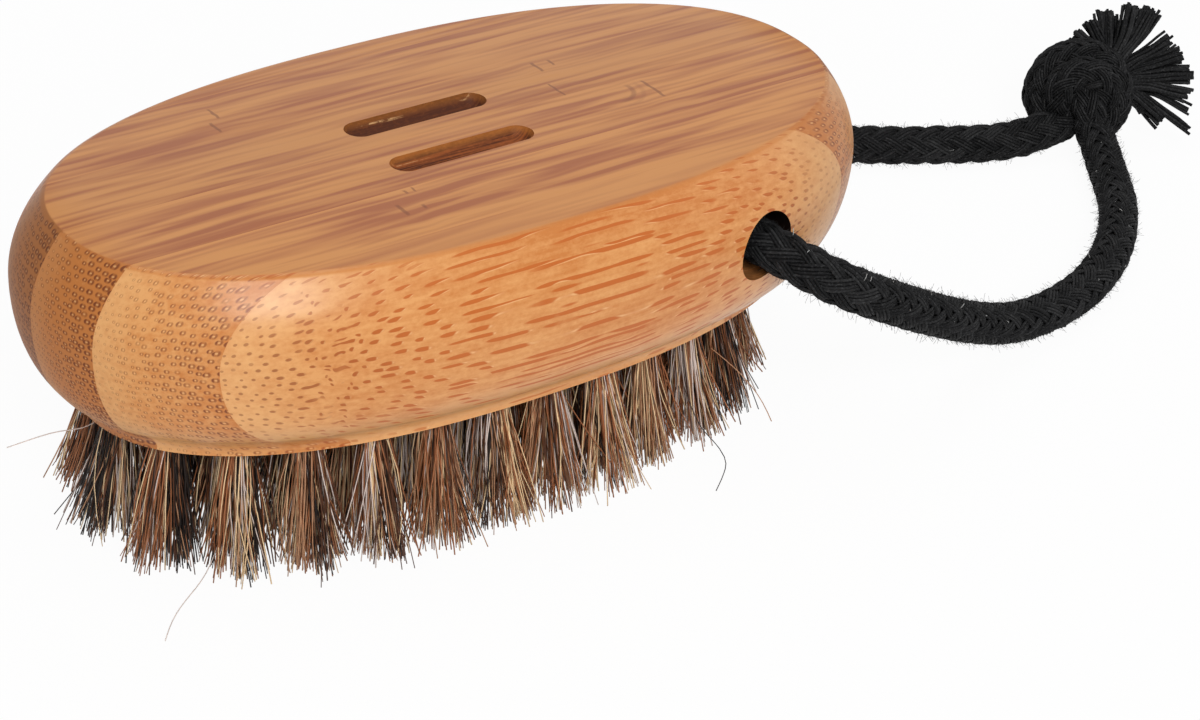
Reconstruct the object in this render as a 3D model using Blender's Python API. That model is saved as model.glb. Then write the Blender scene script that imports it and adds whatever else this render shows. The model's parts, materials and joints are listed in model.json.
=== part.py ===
"""Nail brush: a laminated bamboo block, tufted with horsehair in drilled holes, on a cotton hanging loop.

Units are metres and +Z is up. The origin lies on the table under the middle of the block, and the
bristle tips stand on z = 0. +X runs along the block towards the end with the cord bore, -Y is the
side from which the cord comes out towards the viewer, and heights in the block are measured from
its underside. The cord loop turns about the axis of the bore.
"""
import math

import bmesh
import bpy
import numpy as np
from mathutils import Matrix, Vector

# Block: its plan is a superellipse, its side is a bullnose between a crisp top edge and a low lip
BLOCK_LENGTH = 0.1000
BLOCK_WIDTH = 0.0531
BLOCK_THICKNESS = 0.0221
PLAN_POWER_ALONG = 2.38
PLAN_POWER_ACROSS = 2.26
TOP_EDGE_INSET = 0.0037
WIDEST_HEIGHT = 0.0133
FOOT_INSET = 0.0058
LIP_HEIGHT = 0.0018
OUTLINE_POINTS = 60
UPPER_STEPS = 5
LOWER_STEPS = 5

# Lamellae: the strips that the block is glued up from, standing on edge along the block
OUTER_LAMELLA_THICKNESS = 0.00775
MIDDLE_GLUE_LINE_Y = 0.0004
GLUE_LINE = 0.0003
GLUE_LINES_EACH_SIDE = 2

# Grip grooves: two plain routed grooves in the top, made with a ball-nosed cutter
GROOVE_LENGTH = 0.0176
GROOVE_CUTTER_DIAMETER = 0.0036
GROOVE_DEPTH = 0.0015
GROOVE_SPACING = 0.0090
GROOVE_CENTRE_X = -0.0020
GROOVE_SIDES = 16
GROOVE_END_STEPS = 4

# Cord bore: it crosses the block above the tuft holes
BORE_DIAMETER = 0.0080
BORE_X = 0.0243
BORE_HEIGHT = 0.0123
BORE_SIDES = 24

# Tufts: three rings that follow the underside's outline round one straight row
BRISTLE_LENGTH = 0.0140
EDGE_TO_SIDE_TUFTS = 0.0034
EDGE_TO_FREE_END_TUFTS = 0.0044
EDGE_TO_CORD_END_TUFTS = 0.0106
RING_SPACING = 0.0057
TUFT_SPACING = 0.0065
TUFT_DIAMETER = 0.0032
TUFT_DEPTH = 0.0062
PLUG_SIDES = 6
RING_POINTS = 36
PATH_SAMPLES = 720

# Slice of backing that carries a ring's strands, let into the underside, and the walls beside it
SLICE_THICKNESS = 0.0012
SLICE_WALL_THICKNESS = 0.0009
ROW_WALL_THICKNESS = 0.0008

# Strands: each stands for a lock of hairs
STRANDS_PER_TUFT = 5
STRAND_SIDES = 3
STRAND_ROOT_DIAMETER = 0.0010
STRAND_TIP_DIAMETER = 0.0008
ROOT_CIRCLE_RADIUS = 0.0010
TIP_CIRCLE_RADIUS = 0.0021
OUTER_TIP_OFFSET = 0.0030
TIP_OFFSET_FALL_LENGTH = 0.0007
TIP_UNEVENNESS = 0.0009
BEND_HEIGHT_SHARE = 0.5
BEND_SPREAD_SHARE = 0.36

# Cord: its loop leaves both mouths of the bore, sinks to the table and meets again at the knot
CORD_DIAMETER = 0.0050
CORD_STEP = 0.0032
CORD_BEVEL_RESOLUTION = 3
ROUTE_PIECES = 24
HELD_CORD_LENGTH = 0.0282
HELD_POINT_SHARES = (-0.5, -0.25, 0.0, 0.25, 0.5)
NEAR_ROUTE = (
    (0.0243, -0.0144, 0.0263),
    (0.0243, -0.0190, 0.0263),
    (0.0250, -0.0232, 0.0259),
    (0.0269, -0.0267, 0.0248),
    (0.0298, -0.0291, 0.0230),
    (0.0333, -0.0300, 0.0210),
    (0.0380, -0.0294, 0.0182),
    (0.0434, -0.0281, 0.0149),
    (0.0490, -0.0266, 0.0116),
    (0.0546, -0.0251, 0.0085),
    (0.0604, -0.0237, 0.0057),
    (0.0668, -0.0225, 0.0036),
    (0.0736, -0.0212, 0.0027),
    (0.0812, -0.0189, 0.0026),
    (0.0884, -0.0150, 0.0026),
    (0.0948, -0.0099, 0.0026),
    (0.1000, -0.0043, 0.0026),
    (0.1043, 0.0018, 0.0027),
    (0.1074, 0.0066, 0.0033),
    (0.1092, 0.0102, 0.0044),
)
FAR_ROUTE = (
    (0.0243, 0.0144, 0.0263),
    (0.0243, 0.0190, 0.0263),
    (0.0250, 0.0232, 0.0259),
    (0.0269, 0.0267, 0.0248),
    (0.0299, 0.0291, 0.0232),
    (0.0350, 0.0305, 0.0202),
    (0.0409, 0.0318, 0.0168),
    (0.0478, 0.0322, 0.0128),
    (0.0546, 0.0321, 0.0094),
    (0.0618, 0.0310, 0.0064),
    (0.0696, 0.0287, 0.0040),
    (0.0776, 0.0253, 0.0029),
    (0.0854, 0.0211, 0.0026),
    (0.0930, 0.0171, 0.0026),
    (0.0994, 0.0147, 0.0027),
    (0.1054, 0.0136, 0.0036),
)

# Knot: an overhand knot in both ends together, which stands on the table
KNOT_CENTRE = (0.1112, 0.0148, 0.0074)
KNOT_DIAMETER = 0.0144
KNOT_HEART_DIAMETER = 0.0112
KNOT_WRAPS = 3
KNOT_WRAP_TILT_DEGREES = 34.0
KNOT_SIDES = 28
KNOT_RINGS = 20

# Tassel: the frayed ends of the cord beyond the knot
TASSEL_DIRECTION = (0.83, 0.38, 0.41)
TASSEL_NECK_DIAMETER = 0.0064
TASSEL_NECK_LENGTH = 0.0030
TASSEL_NECK_SIDES = 12
TASSEL_SEAT = 0.0048
TASSEL_YARNS = 14
YARN_LENGTH = 0.0085
YARN_ROOT_DIAMETER = 0.0011
YARN_TIP_DIAMETER = 0.0008
YARN_SIDES = 4
YARN_OVERLAP = 0.0008
TASSEL_SPREAD = 0.0068
YARN_BEND_SHARES = (0.0, 0.34, 0.68, 1.0)
YARN_BEND_POWER = 1.5

# Fits
CLEARANCE = 0.0003
CUT_OVERRUN = 0.0020
WELD_OVERLAP = 0.0004

SHARP_ANGLE_DEGREES = 32.0
GOLDEN_ANGLE = math.pi * (3.0 - math.sqrt(5.0))

UNDERSIDE_Z = BRISTLE_LENGTH
TOP_Z = UNDERSIDE_Z + BLOCK_THICKNESS
BORE_Z = UNDERSIDE_Z + BORE_HEIGHT
INNER_LAMELLA_THICKNESS = (BLOCK_WIDTH / 2 - OUTER_LAMELLA_THICKNESS) / GLUE_LINES_EACH_SIDE
FOOT_HALF_LENGTH = BLOCK_LENGTH / 2 - FOOT_INSET
FOOT_HALF_WIDTH = BLOCK_WIDTH / 2 - FOOT_INSET
FIELD_HALF_LENGTH = FOOT_HALF_LENGTH - (EDGE_TO_FREE_END_TUFTS + EDGE_TO_CORD_END_TUFTS) / 2
FIELD_HALF_WIDTH = FOOT_HALF_WIDTH - EDGE_TO_SIDE_TUFTS
FIELD_CENTRE_X = (EDGE_TO_FREE_END_TUFTS - EDGE_TO_CORD_END_TUFTS) / 2
SLICE_WIDTH = RING_SPACING - SLICE_WALL_THICKNESS - 2 * CLEARANCE
SLICE_HALF_BAND = SLICE_WIDTH / 2 + CLEARANCE


def clear_scene():
    """Remove every object and the meshes, curves and materials that they used."""
    for thing in list(bpy.data.objects):
        bpy.data.objects.remove(thing, do_unlink=True)
    for store in (bpy.data.meshes, bpy.data.curves, bpy.data.materials):
        for block in list(store):
            store.remove(block)


def make_material(name, colour, roughness):
    """A plain Principled material."""
    material = bpy.data.materials.new(name)
    material.use_nodes = True
    shader = material.node_tree.nodes["Principled BSDF"]
    shader.inputs["Base Color"].default_value = (*colour, 1.0)
    shader.inputs["Roughness"].default_value = roughness
    shader.inputs["Metallic"].default_value = 0.0
    material.diffuse_color = (*colour, 1.0)
    return material


def add_object(name, mesh, material):
    """Link a mesh to the scene as a smooth-shaded object with crisp edges kept."""
    mesh.shade_smooth()
    mesh.set_sharp_from_angle(angle=math.radians(SHARP_ANGLE_DEGREES))
    thing = bpy.data.objects.new(name, mesh)
    thing.data.materials.append(material)
    bpy.context.scene.collection.objects.link(thing)
    return thing


def add_tool(name, mesh):
    """Link a mesh that only cuts or joins another one."""
    thing = bpy.data.objects.new(name, mesh)
    thing.display_type = "WIRE"
    thing.hide_render = True
    bpy.context.scene.collection.objects.link(thing)
    return thing


def add_boolean(thing, tool, operation):
    """Cut, join or trim an object with a tool."""
    modifier = thing.modifiers.new(tool.name, "BOOLEAN")
    modifier.object = tool
    modifier.operation = operation
    modifier.solver = "EXACT"


def finish_mesh(name, bm):
    """Turn the faces outwards and write the mesh."""
    bmesh.ops.recalc_face_normals(bm, faces=bm.faces)
    mesh = bpy.data.meshes.new(name)
    bm.to_mesh(mesh)
    bm.free()
    return mesh


def add_loft(bm, loops, closed=False):
    """Skin a row of loops with equal numbers of points, capped at both ends unless it closes on itself."""
    rings = [[bm.verts.new(point) for point in loop] for loop in loops]
    pairs = list(zip(rings, rings[1:]))
    if closed:
        pairs.append((rings[-1], rings[0]))
    else:
        bm.faces.new(rings[0])
        bm.faces.new(rings[-1])
    for lower, upper in pairs:
        for index in range(len(lower)):
            after = (index + 1) % len(lower)
            bm.faces.new((lower[index], lower[after], upper[after], upper[index]))


def superellipse_point(half_length, half_width, angle):
    """Point of the plan curve at a parameter angle, in the block's proportions of power."""
    cosine = math.cos(angle)
    sine = math.sin(angle)
    along = math.copysign(abs(cosine) ** (2.0 / PLAN_POWER_ALONG), cosine)
    across = math.copysign(abs(sine) ** (2.0 / PLAN_POWER_ACROSS), sine)
    return half_length * along, half_width * across


def outline(half_length, half_width, z, count, centre_x=0.0):
    """Closed plan curve at one height."""
    points = []
    for index in range(count):
        x, y = superellipse_point(half_length, half_width, math.tau * index / count)
        points.append((centre_x + x, y, z))
    return points


def block_profile():
    """Pairs of height above the underside and inset from the widest outline, from top to bottom."""
    upper = BLOCK_THICKNESS - WIDEST_HEIGHT
    lower = WIDEST_HEIGHT - LIP_HEIGHT
    profile = []
    for step in range(UPPER_STEPS):
        rise = 1.0 - step / UPPER_STEPS
        profile.append((WIDEST_HEIGHT + upper * rise, TOP_EDGE_INSET * rise ** 2))
    for step in range(LOWER_STEPS + 1):
        turn = 0.5 * math.pi * step / LOWER_STEPS
        profile.append((WIDEST_HEIGHT - lower * math.sin(turn), FOOT_INSET * (1.0 - math.cos(turn))))
    profile.append((0.0, FOOT_INSET))
    return profile


def block_mesh(name):
    """The whole block before it is cut."""
    loops = []
    for height, inset in block_profile():
        half_length = BLOCK_LENGTH / 2 - inset
        half_width = BLOCK_WIDTH / 2 - inset
        loops.append(outline(half_length, half_width, UNDERSIDE_Z + height, OUTLINE_POINTS))
    bm = bmesh.new()
    add_loft(bm, loops)
    return finish_mesh(name, bm)


def add_box(bm, low, high):
    """Box between two corners."""
    size = Vector(high) - Vector(low)
    middle = (Vector(high) + Vector(low)) / 2
    matrix = Matrix.Translation(middle) @ Matrix.Diagonal((*size, 1.0))
    bmesh.ops.create_cube(bm, size=1.0, matrix=matrix)


def add_rod(bm, start, end, radius, sides):
    """Straight round rod between two points."""
    axis = Vector(end) - Vector(start)
    turn = axis.to_track_quat("Z", "Y").to_matrix().to_4x4()
    matrix = Matrix.Translation((Vector(start) + Vector(end)) / 2) @ turn
    bmesh.ops.create_cone(
        bm, cap_ends=True, segments=sides, radius1=radius, radius2=radius, depth=axis.length, matrix=matrix
    )


def add_ball_nosed_rod(bm, centre, length, radius):
    """Rod along X with hemispherical ends, the shape that a ball-nosed cutter sweeps."""
    half = length / 2 - radius
    stations = []
    for step in range(1, GROOVE_END_STEPS + 1):
        turn = 0.5 * math.pi * step / GROOVE_END_STEPS
        stations.append((-half - radius * math.cos(turn), radius * math.sin(turn)))
    stations += [(-x, size) for x, size in reversed(stations)]
    rings = []
    for x, size in stations:
        ring = []
        for index in range(GROOVE_SIDES):
            turn = math.tau * index / GROOVE_SIDES
            ring.append(bm.verts.new(Vector(centre) + Vector((x, size * math.cos(turn), size * math.sin(turn)))))
        rings.append(ring)
    for ring, after in zip(rings, rings[1:]):
        for index in range(GROOVE_SIDES):
            beside = (index + 1) % GROOVE_SIDES
            bm.faces.new((ring[index], ring[beside], after[beside], after[index]))
    for ring, x in ((rings[0], -length / 2), (rings[-1], length / 2)):
        pole = bm.verts.new(Vector(centre) + Vector((x, 0.0, 0.0)))
        for index in range(GROOVE_SIDES):
            bm.faces.new((ring[index], ring[(index + 1) % GROOVE_SIDES], pole))


def ring_count():
    """Rings that fit between the edge of the underside and the slice of the centre row."""
    innermost = 2 * SLICE_HALF_BAND + ROW_WALL_THICKNESS
    return 1 + int((FIELD_HALF_WIDTH - innermost) / RING_SPACING)


def ring_name(index):
    """The outermost and innermost rings are named for their places, and the ones between them middle."""
    last = ring_count() - 1
    if index in (0, last):
        return "outer_tuft_ring" if index == 0 else "inner_tuft_ring"
    return "middle_tuft_ring" if last == 2 else "middle_tuft_ring_%d" % index


def ring_half_sizes(index):
    """Half length and half width of a tuft ring, counted inwards from the edge of the field of tufts."""
    inwards = index * RING_SPACING
    return FIELD_HALF_LENGTH - inwards, FIELD_HALF_WIDTH - inwards


def ring_tufts(index):
    """Tuft places on one ring, evenly spaced along it from its far tip, each with its outward direction."""
    half_length, half_width = ring_half_sizes(index)
    angles = [math.tau * step / PATH_SAMPLES for step in range(PATH_SAMPLES + 1)]
    centre = Vector((FIELD_CENTRE_X, 0.0))
    path = [centre + Vector(superellipse_point(half_length, half_width, angle)) for angle in angles]
    reach = [0.0]
    for before, after in zip(path, path[1:]):
        reach.append(reach[-1] + (after - before).length)
    count = 2 * int(reach[-1] / TUFT_SPACING / 2)
    tufts = []
    step = 0
    for number in range(count):
        wanted = reach[-1] * number / count
        while reach[step + 1] < wanted:
            step += 1
        before = path[step - 1] if step else path[-2]
        tangent = path[step + 1] - before
        outward = Vector((tangent.y, -tangent.x)).normalized()
        share = (wanted - reach[step]) / (reach[step + 1] - reach[step])
        tufts.append((path[step].lerp(path[step + 1], share), outward))
    return tufts


def row_half_length():
    """Half length of the straight sides of the centre row's slice, which fits inside the last ring's."""
    half_length, half_width = (size - SLICE_HALF_BAND for size in ring_half_sizes(ring_count() - 1))
    margin = SLICE_HALF_BAND + ROW_WALL_THICKNESS
    reach_across = min(1.0, margin / half_width)
    straight = half_length * (1.0 - reach_across ** PLAN_POWER_ACROSS) ** (1.0 / PLAN_POWER_ALONG)
    return min(straight, half_length - margin)


def row_tufts():
    """Tuft places on the straight centre row, with no lean across it."""
    count = int(2 * row_half_length() / TUFT_SPACING) + 1
    start = FIELD_CENTRE_X - TUFT_SPACING * (count - 1) / 2
    return [(Vector((start + TUFT_SPACING * number, 0.0)), Vector((0.0, 0.0))) for number in range(count)]


def add_ring_band(bm, index, half_band, low, high):
    """Band of even height that follows a tuft ring."""
    half_length, half_width = ring_half_sizes(index)
    loops = []
    for grow, z in ((half_band, low), (half_band, high), (-half_band, high), (-half_band, low)):
        loops.append(outline(half_length + grow, half_width + grow, z, RING_POINTS, FIELD_CENTRE_X))
    add_loft(bm, loops, closed=True)


def add_row_bar(bm, half_band, low, high):
    """Straight bar with round ends under the centre row."""
    half_run = row_half_length()
    points = []
    steps = RING_POINTS // 4
    for side in (1.0, -1.0):
        for step in range(steps + 1):
            turn = math.pi * (step / steps - 0.5)
            reach = half_run + half_band * math.cos(turn)
            points.append((FIELD_CENTRE_X + side * reach, side * half_band * math.sin(turn)))
    add_loft(bm, [[(x, y, low) for x, y in points], [(x, y, high) for x, y in points]])


def slab_mesh(name, low_y, high_y):
    """Slab that keeps one lamella of the block."""
    bm = bmesh.new()
    reach = BLOCK_LENGTH / 2 + CUT_OVERRUN
    low = (-reach, low_y, UNDERSIDE_Z - CUT_OVERRUN)
    high = (reach, high_y, TOP_Z + CUT_OVERRUN)
    add_box(bm, low, high)
    return finish_mesh(name, bm)


def block_cutter_mesh(name):
    """Everything that is routed or bored in the block apart from the tuft holes."""
    bm = bmesh.new()
    radius = GROOVE_CUTTER_DIAMETER / 2
    for side in (-1.0, 1.0):
        centre = (GROOVE_CENTRE_X, side * GROOVE_SPACING / 2, TOP_Z + radius - GROOVE_DEPTH)
        add_ball_nosed_rod(bm, centre, GROOVE_LENGTH, radius)
    reach = BLOCK_WIDTH / 2 + CUT_OVERRUN
    add_rod(bm, (BORE_X, -reach, BORE_Z), (BORE_X, reach, BORE_Z), BORE_DIAMETER / 2, BORE_SIDES)
    low = UNDERSIDE_Z - CUT_OVERRUN
    high = UNDERSIDE_Z + SLICE_THICKNESS + CLEARANCE
    for index in range(ring_count()):
        add_ring_band(bm, index, SLICE_HALF_BAND, low, high)
    add_row_bar(bm, SLICE_HALF_BAND, low, high)
    return finish_mesh(name, bm)


def all_tufts():
    """Every ring and row with its name, its tufts and how far the tips lean outwards."""
    groups = []
    for index in range(ring_count()):
        lean = max(0.0, OUTER_TIP_OFFSET - TIP_OFFSET_FALL_LENGTH * index)
        groups.append((ring_name(index), ring_tufts(index), lean))
    groups.append(("centre_tuft_row", row_tufts(), 0.0))
    return groups


def add_plugs(bm, tufts, radius, top):
    """Round plugs from inside the slice of backing up to the floor of the tuft holes."""
    bottom = UNDERSIDE_Z + SLICE_THICKNESS - WELD_OVERLAP
    for place, _ in tufts:
        add_rod(bm, (*place, bottom), (*place, top), radius, PLUG_SIDES)


def hole_cutter_mesh(name):
    """Blind tuft holes above the slices."""
    bm = bmesh.new()
    for _, tufts, _ in all_tufts():
        add_plugs(bm, tufts, TUFT_DIAMETER / 2 + CLEARANCE, UNDERSIDE_Z + TUFT_DEPTH + CLEARANCE)
    return finish_mesh(name, bm)


def add_strand(bm, root, tip, turn):
    """Tapered strand that leaves its hole nearly straight down and bends outwards to a flat-cut tip."""
    root_radius = STRAND_ROOT_DIAMETER / 2
    tip_radius = STRAND_TIP_DIAMETER / 2
    loops = []
    for fall, spread in ((0.0, 0.0), (BEND_HEIGHT_SHARE, BEND_SPREAD_SHARE), (1.0, 1.0)):
        x = root.x + (tip.x - root.x) * spread
        y = root.y + (tip.y - root.y) * spread
        z = root.z + (tip.z - root.z) * fall
        radius = root_radius + (tip_radius - root_radius) * fall
        loop = []
        for side in range(STRAND_SIDES):
            angle = turn + math.tau * side / STRAND_SIDES
            loop.append((x + radius * math.cos(angle), y + radius * math.sin(angle), z))
        loops.append(loop)
    add_loft(bm, loops)


def add_tuft_strands(bm, number, place, outward, lean):
    """One tuft: strands on a circle that widens towards the tips, one in two cut a little short."""
    for strand in range(STRANDS_PER_TUFT):
        angle = math.tau * strand / STRANDS_PER_TUFT + number * GOLDEN_ANGLE
        spoke = Vector((math.cos(angle), math.sin(angle)))
        root = place + spoke * ROOT_CIRCLE_RADIUS
        tip = place + outward * lean + spoke * TIP_CIRCLE_RADIUS
        short = TIP_UNEVENNESS * (strand % 2)
        add_strand(bm, Vector((*root, UNDERSIDE_Z + WELD_OVERLAP)), Vector((*tip, short)), angle)


def make_tuft_group(index, name, tufts, lean, material):
    """A ring or row of tufts on its slice of backing, rooted in its holes."""
    bm = bmesh.new()
    low = UNDERSIDE_Z
    high = UNDERSIDE_Z + SLICE_THICKNESS
    if index < ring_count():
        add_ring_band(bm, index, SLICE_WIDTH / 2, low, high)
    else:
        add_row_bar(bm, SLICE_WIDTH / 2, low, high)
    group = add_object(name, finish_mesh(name, bm), material)
    plugs = bmesh.new()
    add_plugs(plugs, tufts, TUFT_DIAMETER / 2, UNDERSIDE_Z + TUFT_DEPTH)
    add_boolean(group, add_tool(name + "_plugs", finish_mesh(name + "_plugs", plugs)), "UNION")
    strands = bmesh.new()
    for number, (place, outward) in enumerate(tufts):
        add_tuft_strands(strands, number, place, outward, lean)
    add_boolean(group, add_tool(name + "_strands", finish_mesh(name + "_strands", strands)), "UNION")


def make_tufts(material):
    """All rings and the centre row."""
    for index, (name, tufts, lean) in enumerate(all_tufts()):
        make_tuft_group(index, name, tufts, lean, material)


def glue_planes():
    """Glue planes across the block, in the order of the lamellae, and the two outer sides."""
    reach = BLOCK_WIDTH / 2 + CUT_OVERRUN
    steps = range(-GLUE_LINES_EACH_SIDE, GLUE_LINES_EACH_SIDE + 1)
    return [-reach] + [MIDDLE_GLUE_LINE_Y + INNER_LAMELLA_THICKNESS * step for step in steps] + [reach]


def make_block(materials):
    """The lamellae, each trimmed from the block's shape and cut for grooves, bore and tufts."""
    cutter = add_tool("routing_cutter", block_cutter_mesh("routing_cutter"))
    holes = add_tool("tuft_hole_cutter", hole_cutter_mesh("tuft_hole_cutter"))
    planes = glue_planes()
    for number, (low, high) in enumerate(zip(planes, planes[1:]), start=1):
        name = "bamboo_lamella_%d" % number
        lamella = add_object(name, block_mesh(name), materials[number % len(materials)])
        slab = add_tool(name + "_slab", slab_mesh(name + "_slab", low + GLUE_LINE / 2, high - GLUE_LINE / 2))
        add_boolean(lamella, slab, "INTERSECT")
        add_boolean(lamella, cutter, "DIFFERENCE")
        add_boolean(lamella, holes, "DIFFERENCE")


def route_bends(route, spans):
    """Second derivatives at a route's points, for the natural cubic spline through them."""
    count = len(route)
    balance = np.eye(count)
    pull = np.zeros((count, 3))
    for index in range(1, count - 1):
        before, after = spans[index - 1], spans[index]
        balance[index, index - 1:index + 2] = before, 2 * (before + after), after
        rise = (route[index + 1] - route[index]) / after - (route[index] - route[index - 1]) / before
        pull[index] = 6 * rise
    return np.linalg.solve(balance, pull)


def smooth_route(route, step):
    """Points at even steps along the natural cubic spline through a route's points."""
    route = np.array(route)
    spans = np.linalg.norm(np.diff(route, axis=0), axis=1)
    bends = route_bends(route, spans)
    dense = [route[0]]
    for index, span in enumerate(spans):
        start = route[index] / span - bends[index] * span / 6
        end = route[index + 1] / span - bends[index + 1] * span / 6
        for piece in range(1, ROUTE_PIECES + 1):
            done = span * piece / ROUTE_PIECES
            left = span - done
            curl = (bends[index] * left ** 3 + bends[index + 1] * done ** 3) / (6 * span)
            dense.append(curl + start * left + end * done)
    dense = np.array(dense)
    reach = np.concatenate(([0.0], np.cumsum(np.linalg.norm(np.diff(dense, axis=0), axis=1))))
    count = max(2, round(reach[-1] / step))
    wanted = np.linspace(0.0, reach[-1], count + 1)
    columns = [np.interp(wanted, reach, dense[:, axis]) for axis in range(3)]
    return [Vector(point) for point in zip(*columns)]


def cord_curve(name, points, radius):
    """Round cord along points, with closed ends."""
    curve = bpy.data.curves.new(name, "CURVE")
    curve.dimensions = "3D"
    curve.twist_mode = "MINIMUM"
    curve.bevel_depth = radius
    curve.bevel_resolution = CORD_BEVEL_RESOLUTION
    curve.use_fill_caps = True
    spline = curve.splines.new("POLY")
    spline.points.add(len(points) - 1)
    for target, point in zip(spline.points, points):
        target.co = (*point, 1.0)
    return curve


def make_cord_stretch(name, points, material):
    """A stretch of the cord as its own object."""
    curve = cord_curve(name, points, CORD_DIAMETER / 2)
    curve.materials.append(material)
    thing = bpy.data.objects.new(name, curve)
    bpy.context.scene.collection.objects.link(thing)
    return thing


def cord_seat_tool(name, points):
    """Tool that sinks the seat of a cord's end into the knot."""
    tip = points[-1] + (points[-1] - points[-2]).normalized() * CLEARANCE
    curve = cord_curve(name, points[:-1] + [tip], CORD_DIAMETER / 2 + CLEARANCE)
    guide = bpy.data.objects.new(name + "_curve", curve)
    bpy.context.scene.collection.objects.link(guide)
    mesh = bpy.data.meshes.new_from_object(guide)
    bpy.data.objects.remove(guide, do_unlink=True)
    mesh.name = name
    return add_tool(name, mesh)


def knot_axis_turn():
    """Rotation that stands the knot's own axis along the tassel."""
    return Vector(TASSEL_DIRECTION).normalized().to_track_quat("Z", "Y").to_matrix()


def wrap_normals():
    """Axes of the wraps: they lean from the knot's axis, evenly turned about it."""
    lean = Matrix.Rotation(math.radians(KNOT_WRAP_TILT_DEGREES), 3, "X")
    normals = []
    for wrap in range(KNOT_WRAPS):
        turn = Matrix.Rotation(math.tau * wrap / KNOT_WRAPS, 3, "Z")
        normals.append(knot_axis_turn() @ turn @ lean @ Vector((0.0, 0.0, 1.0)))
    return normals


def knot_reach(direction, normals):
    """Distance from the knot's centre to its surface: the outermost wrap there, or its heart."""
    tube = CORD_DIAMETER / 2
    ring = KNOT_DIAMETER / 2 - tube
    reach = KNOT_HEART_DIAMETER / 2
    for normal in normals:
        rise = ring * abs(direction.dot(normal))
        if rise < tube:
            along = math.sqrt(ring ** 2 - rise ** 2)
            reach = max(reach, along + math.sqrt(tube ** 2 - rise ** 2))
    return reach


def knot_mesh(name):
    """Ball of wraps, as one star-shaped surface round the knot's centre."""
    normals = wrap_normals()
    bm = bmesh.new()
    bmesh.ops.create_uvsphere(bm, u_segments=KNOT_SIDES, v_segments=KNOT_RINGS, radius=KNOT_HEART_DIAMETER / 2)
    for vertex in bm.verts:
        direction = knot_axis_turn() @ vertex.co.normalized()
        vertex.co = Vector(KNOT_CENTRE) + direction * knot_reach(direction, normals)
    return finish_mesh(name, bm)


def make_knot(material, near_points, far_points, neck_start, neck_end):
    """The knot, seated on the three stretches of cord that it holds."""
    knot = add_object("cord_knot", knot_mesh("cord_knot"), material)
    add_boolean(knot, cord_seat_tool("near_cord_seat", near_points), "DIFFERENCE")
    add_boolean(knot, cord_seat_tool("far_cord_seat", far_points), "DIFFERENCE")
    neck = bmesh.new()
    outward = (neck_end - neck_start).normalized()
    seat = neck_start - outward * CLEARANCE
    radius = TASSEL_NECK_DIAMETER / 2 + CLEARANCE
    add_rod(neck, seat, neck_end + outward * CUT_OVERRUN, radius, TASSEL_NECK_SIDES)
    add_boolean(knot, add_tool("tassel_seat", finish_mesh("tassel_seat", neck)), "DIFFERENCE")


def yarn_loops(root, tip):
    """Tapered loops of one yarn that swings outwards as it leaves the neck."""
    axis = Vector(TASSEL_DIRECTION).normalized()
    straight = root + axis * (tip - root).dot(axis)
    loops = []
    for share in YARN_BEND_SHARES:
        centre = root.lerp(straight, share) + (tip - straight) * share ** YARN_BEND_POWER
        radius = (YARN_ROOT_DIAMETER + (YARN_TIP_DIAMETER - YARN_ROOT_DIAMETER) * share) / 2
        side = axis.orthogonal().normalized()
        loop = []
        for number in range(YARN_SIDES):
            spoke = side.copy()
            spoke.rotate(Matrix.Rotation(math.tau * number / YARN_SIDES, 3, axis))
            loop.append(centre + spoke * radius)
        loops.append(loop)
    return loops


def make_tassel(material, neck_start, neck_end):
    """The tassel: a neck that fills the knot's seat and yarns that fan out of it."""
    axis = (neck_end - neck_start).normalized()
    bm = bmesh.new()
    add_rod(bm, neck_start, neck_end, TASSEL_NECK_DIAMETER / 2, TASSEL_NECK_SIDES)
    tassel = add_object("cord_tassel", finish_mesh("cord_tassel", bm), material)
    side = axis.orthogonal().normalized()
    root_reach = TASSEL_NECK_DIAMETER / 2 - YARN_ROOT_DIAMETER
    yarns = bmesh.new()
    for number in range(TASSEL_YARNS):
        share = math.sqrt((number + 0.5) / TASSEL_YARNS)
        spoke = side.copy()
        spoke.rotate(Matrix.Rotation(number * GOLDEN_ANGLE, 3, axis))
        root = neck_end - axis * YARN_OVERLAP + spoke * root_reach * share
        fall = math.sqrt(YARN_LENGTH ** 2 - (TASSEL_SPREAD * share) ** 2)
        tip = neck_end + axis * fall + spoke * (root_reach + TASSEL_SPREAD) * share
        add_loft(yarns, yarn_loops(root, tip))
    add_boolean(tassel, add_tool("tassel_yarns", finish_mesh("tassel_yarns", yarns)), "UNION")


def least_bend(points):
    """Tightest bend radius along points, for the printed summary."""
    tightest = math.inf
    for before, here, after in zip(points, points[1:], points[2:]):
        area = (here - before).cross(after - here).length / 2
        sides = (here - before).length * (after - here).length * (after - before).length
        if area > 0.0:
            tightest = min(tightest, sides / (4 * area))
    return tightest


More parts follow.
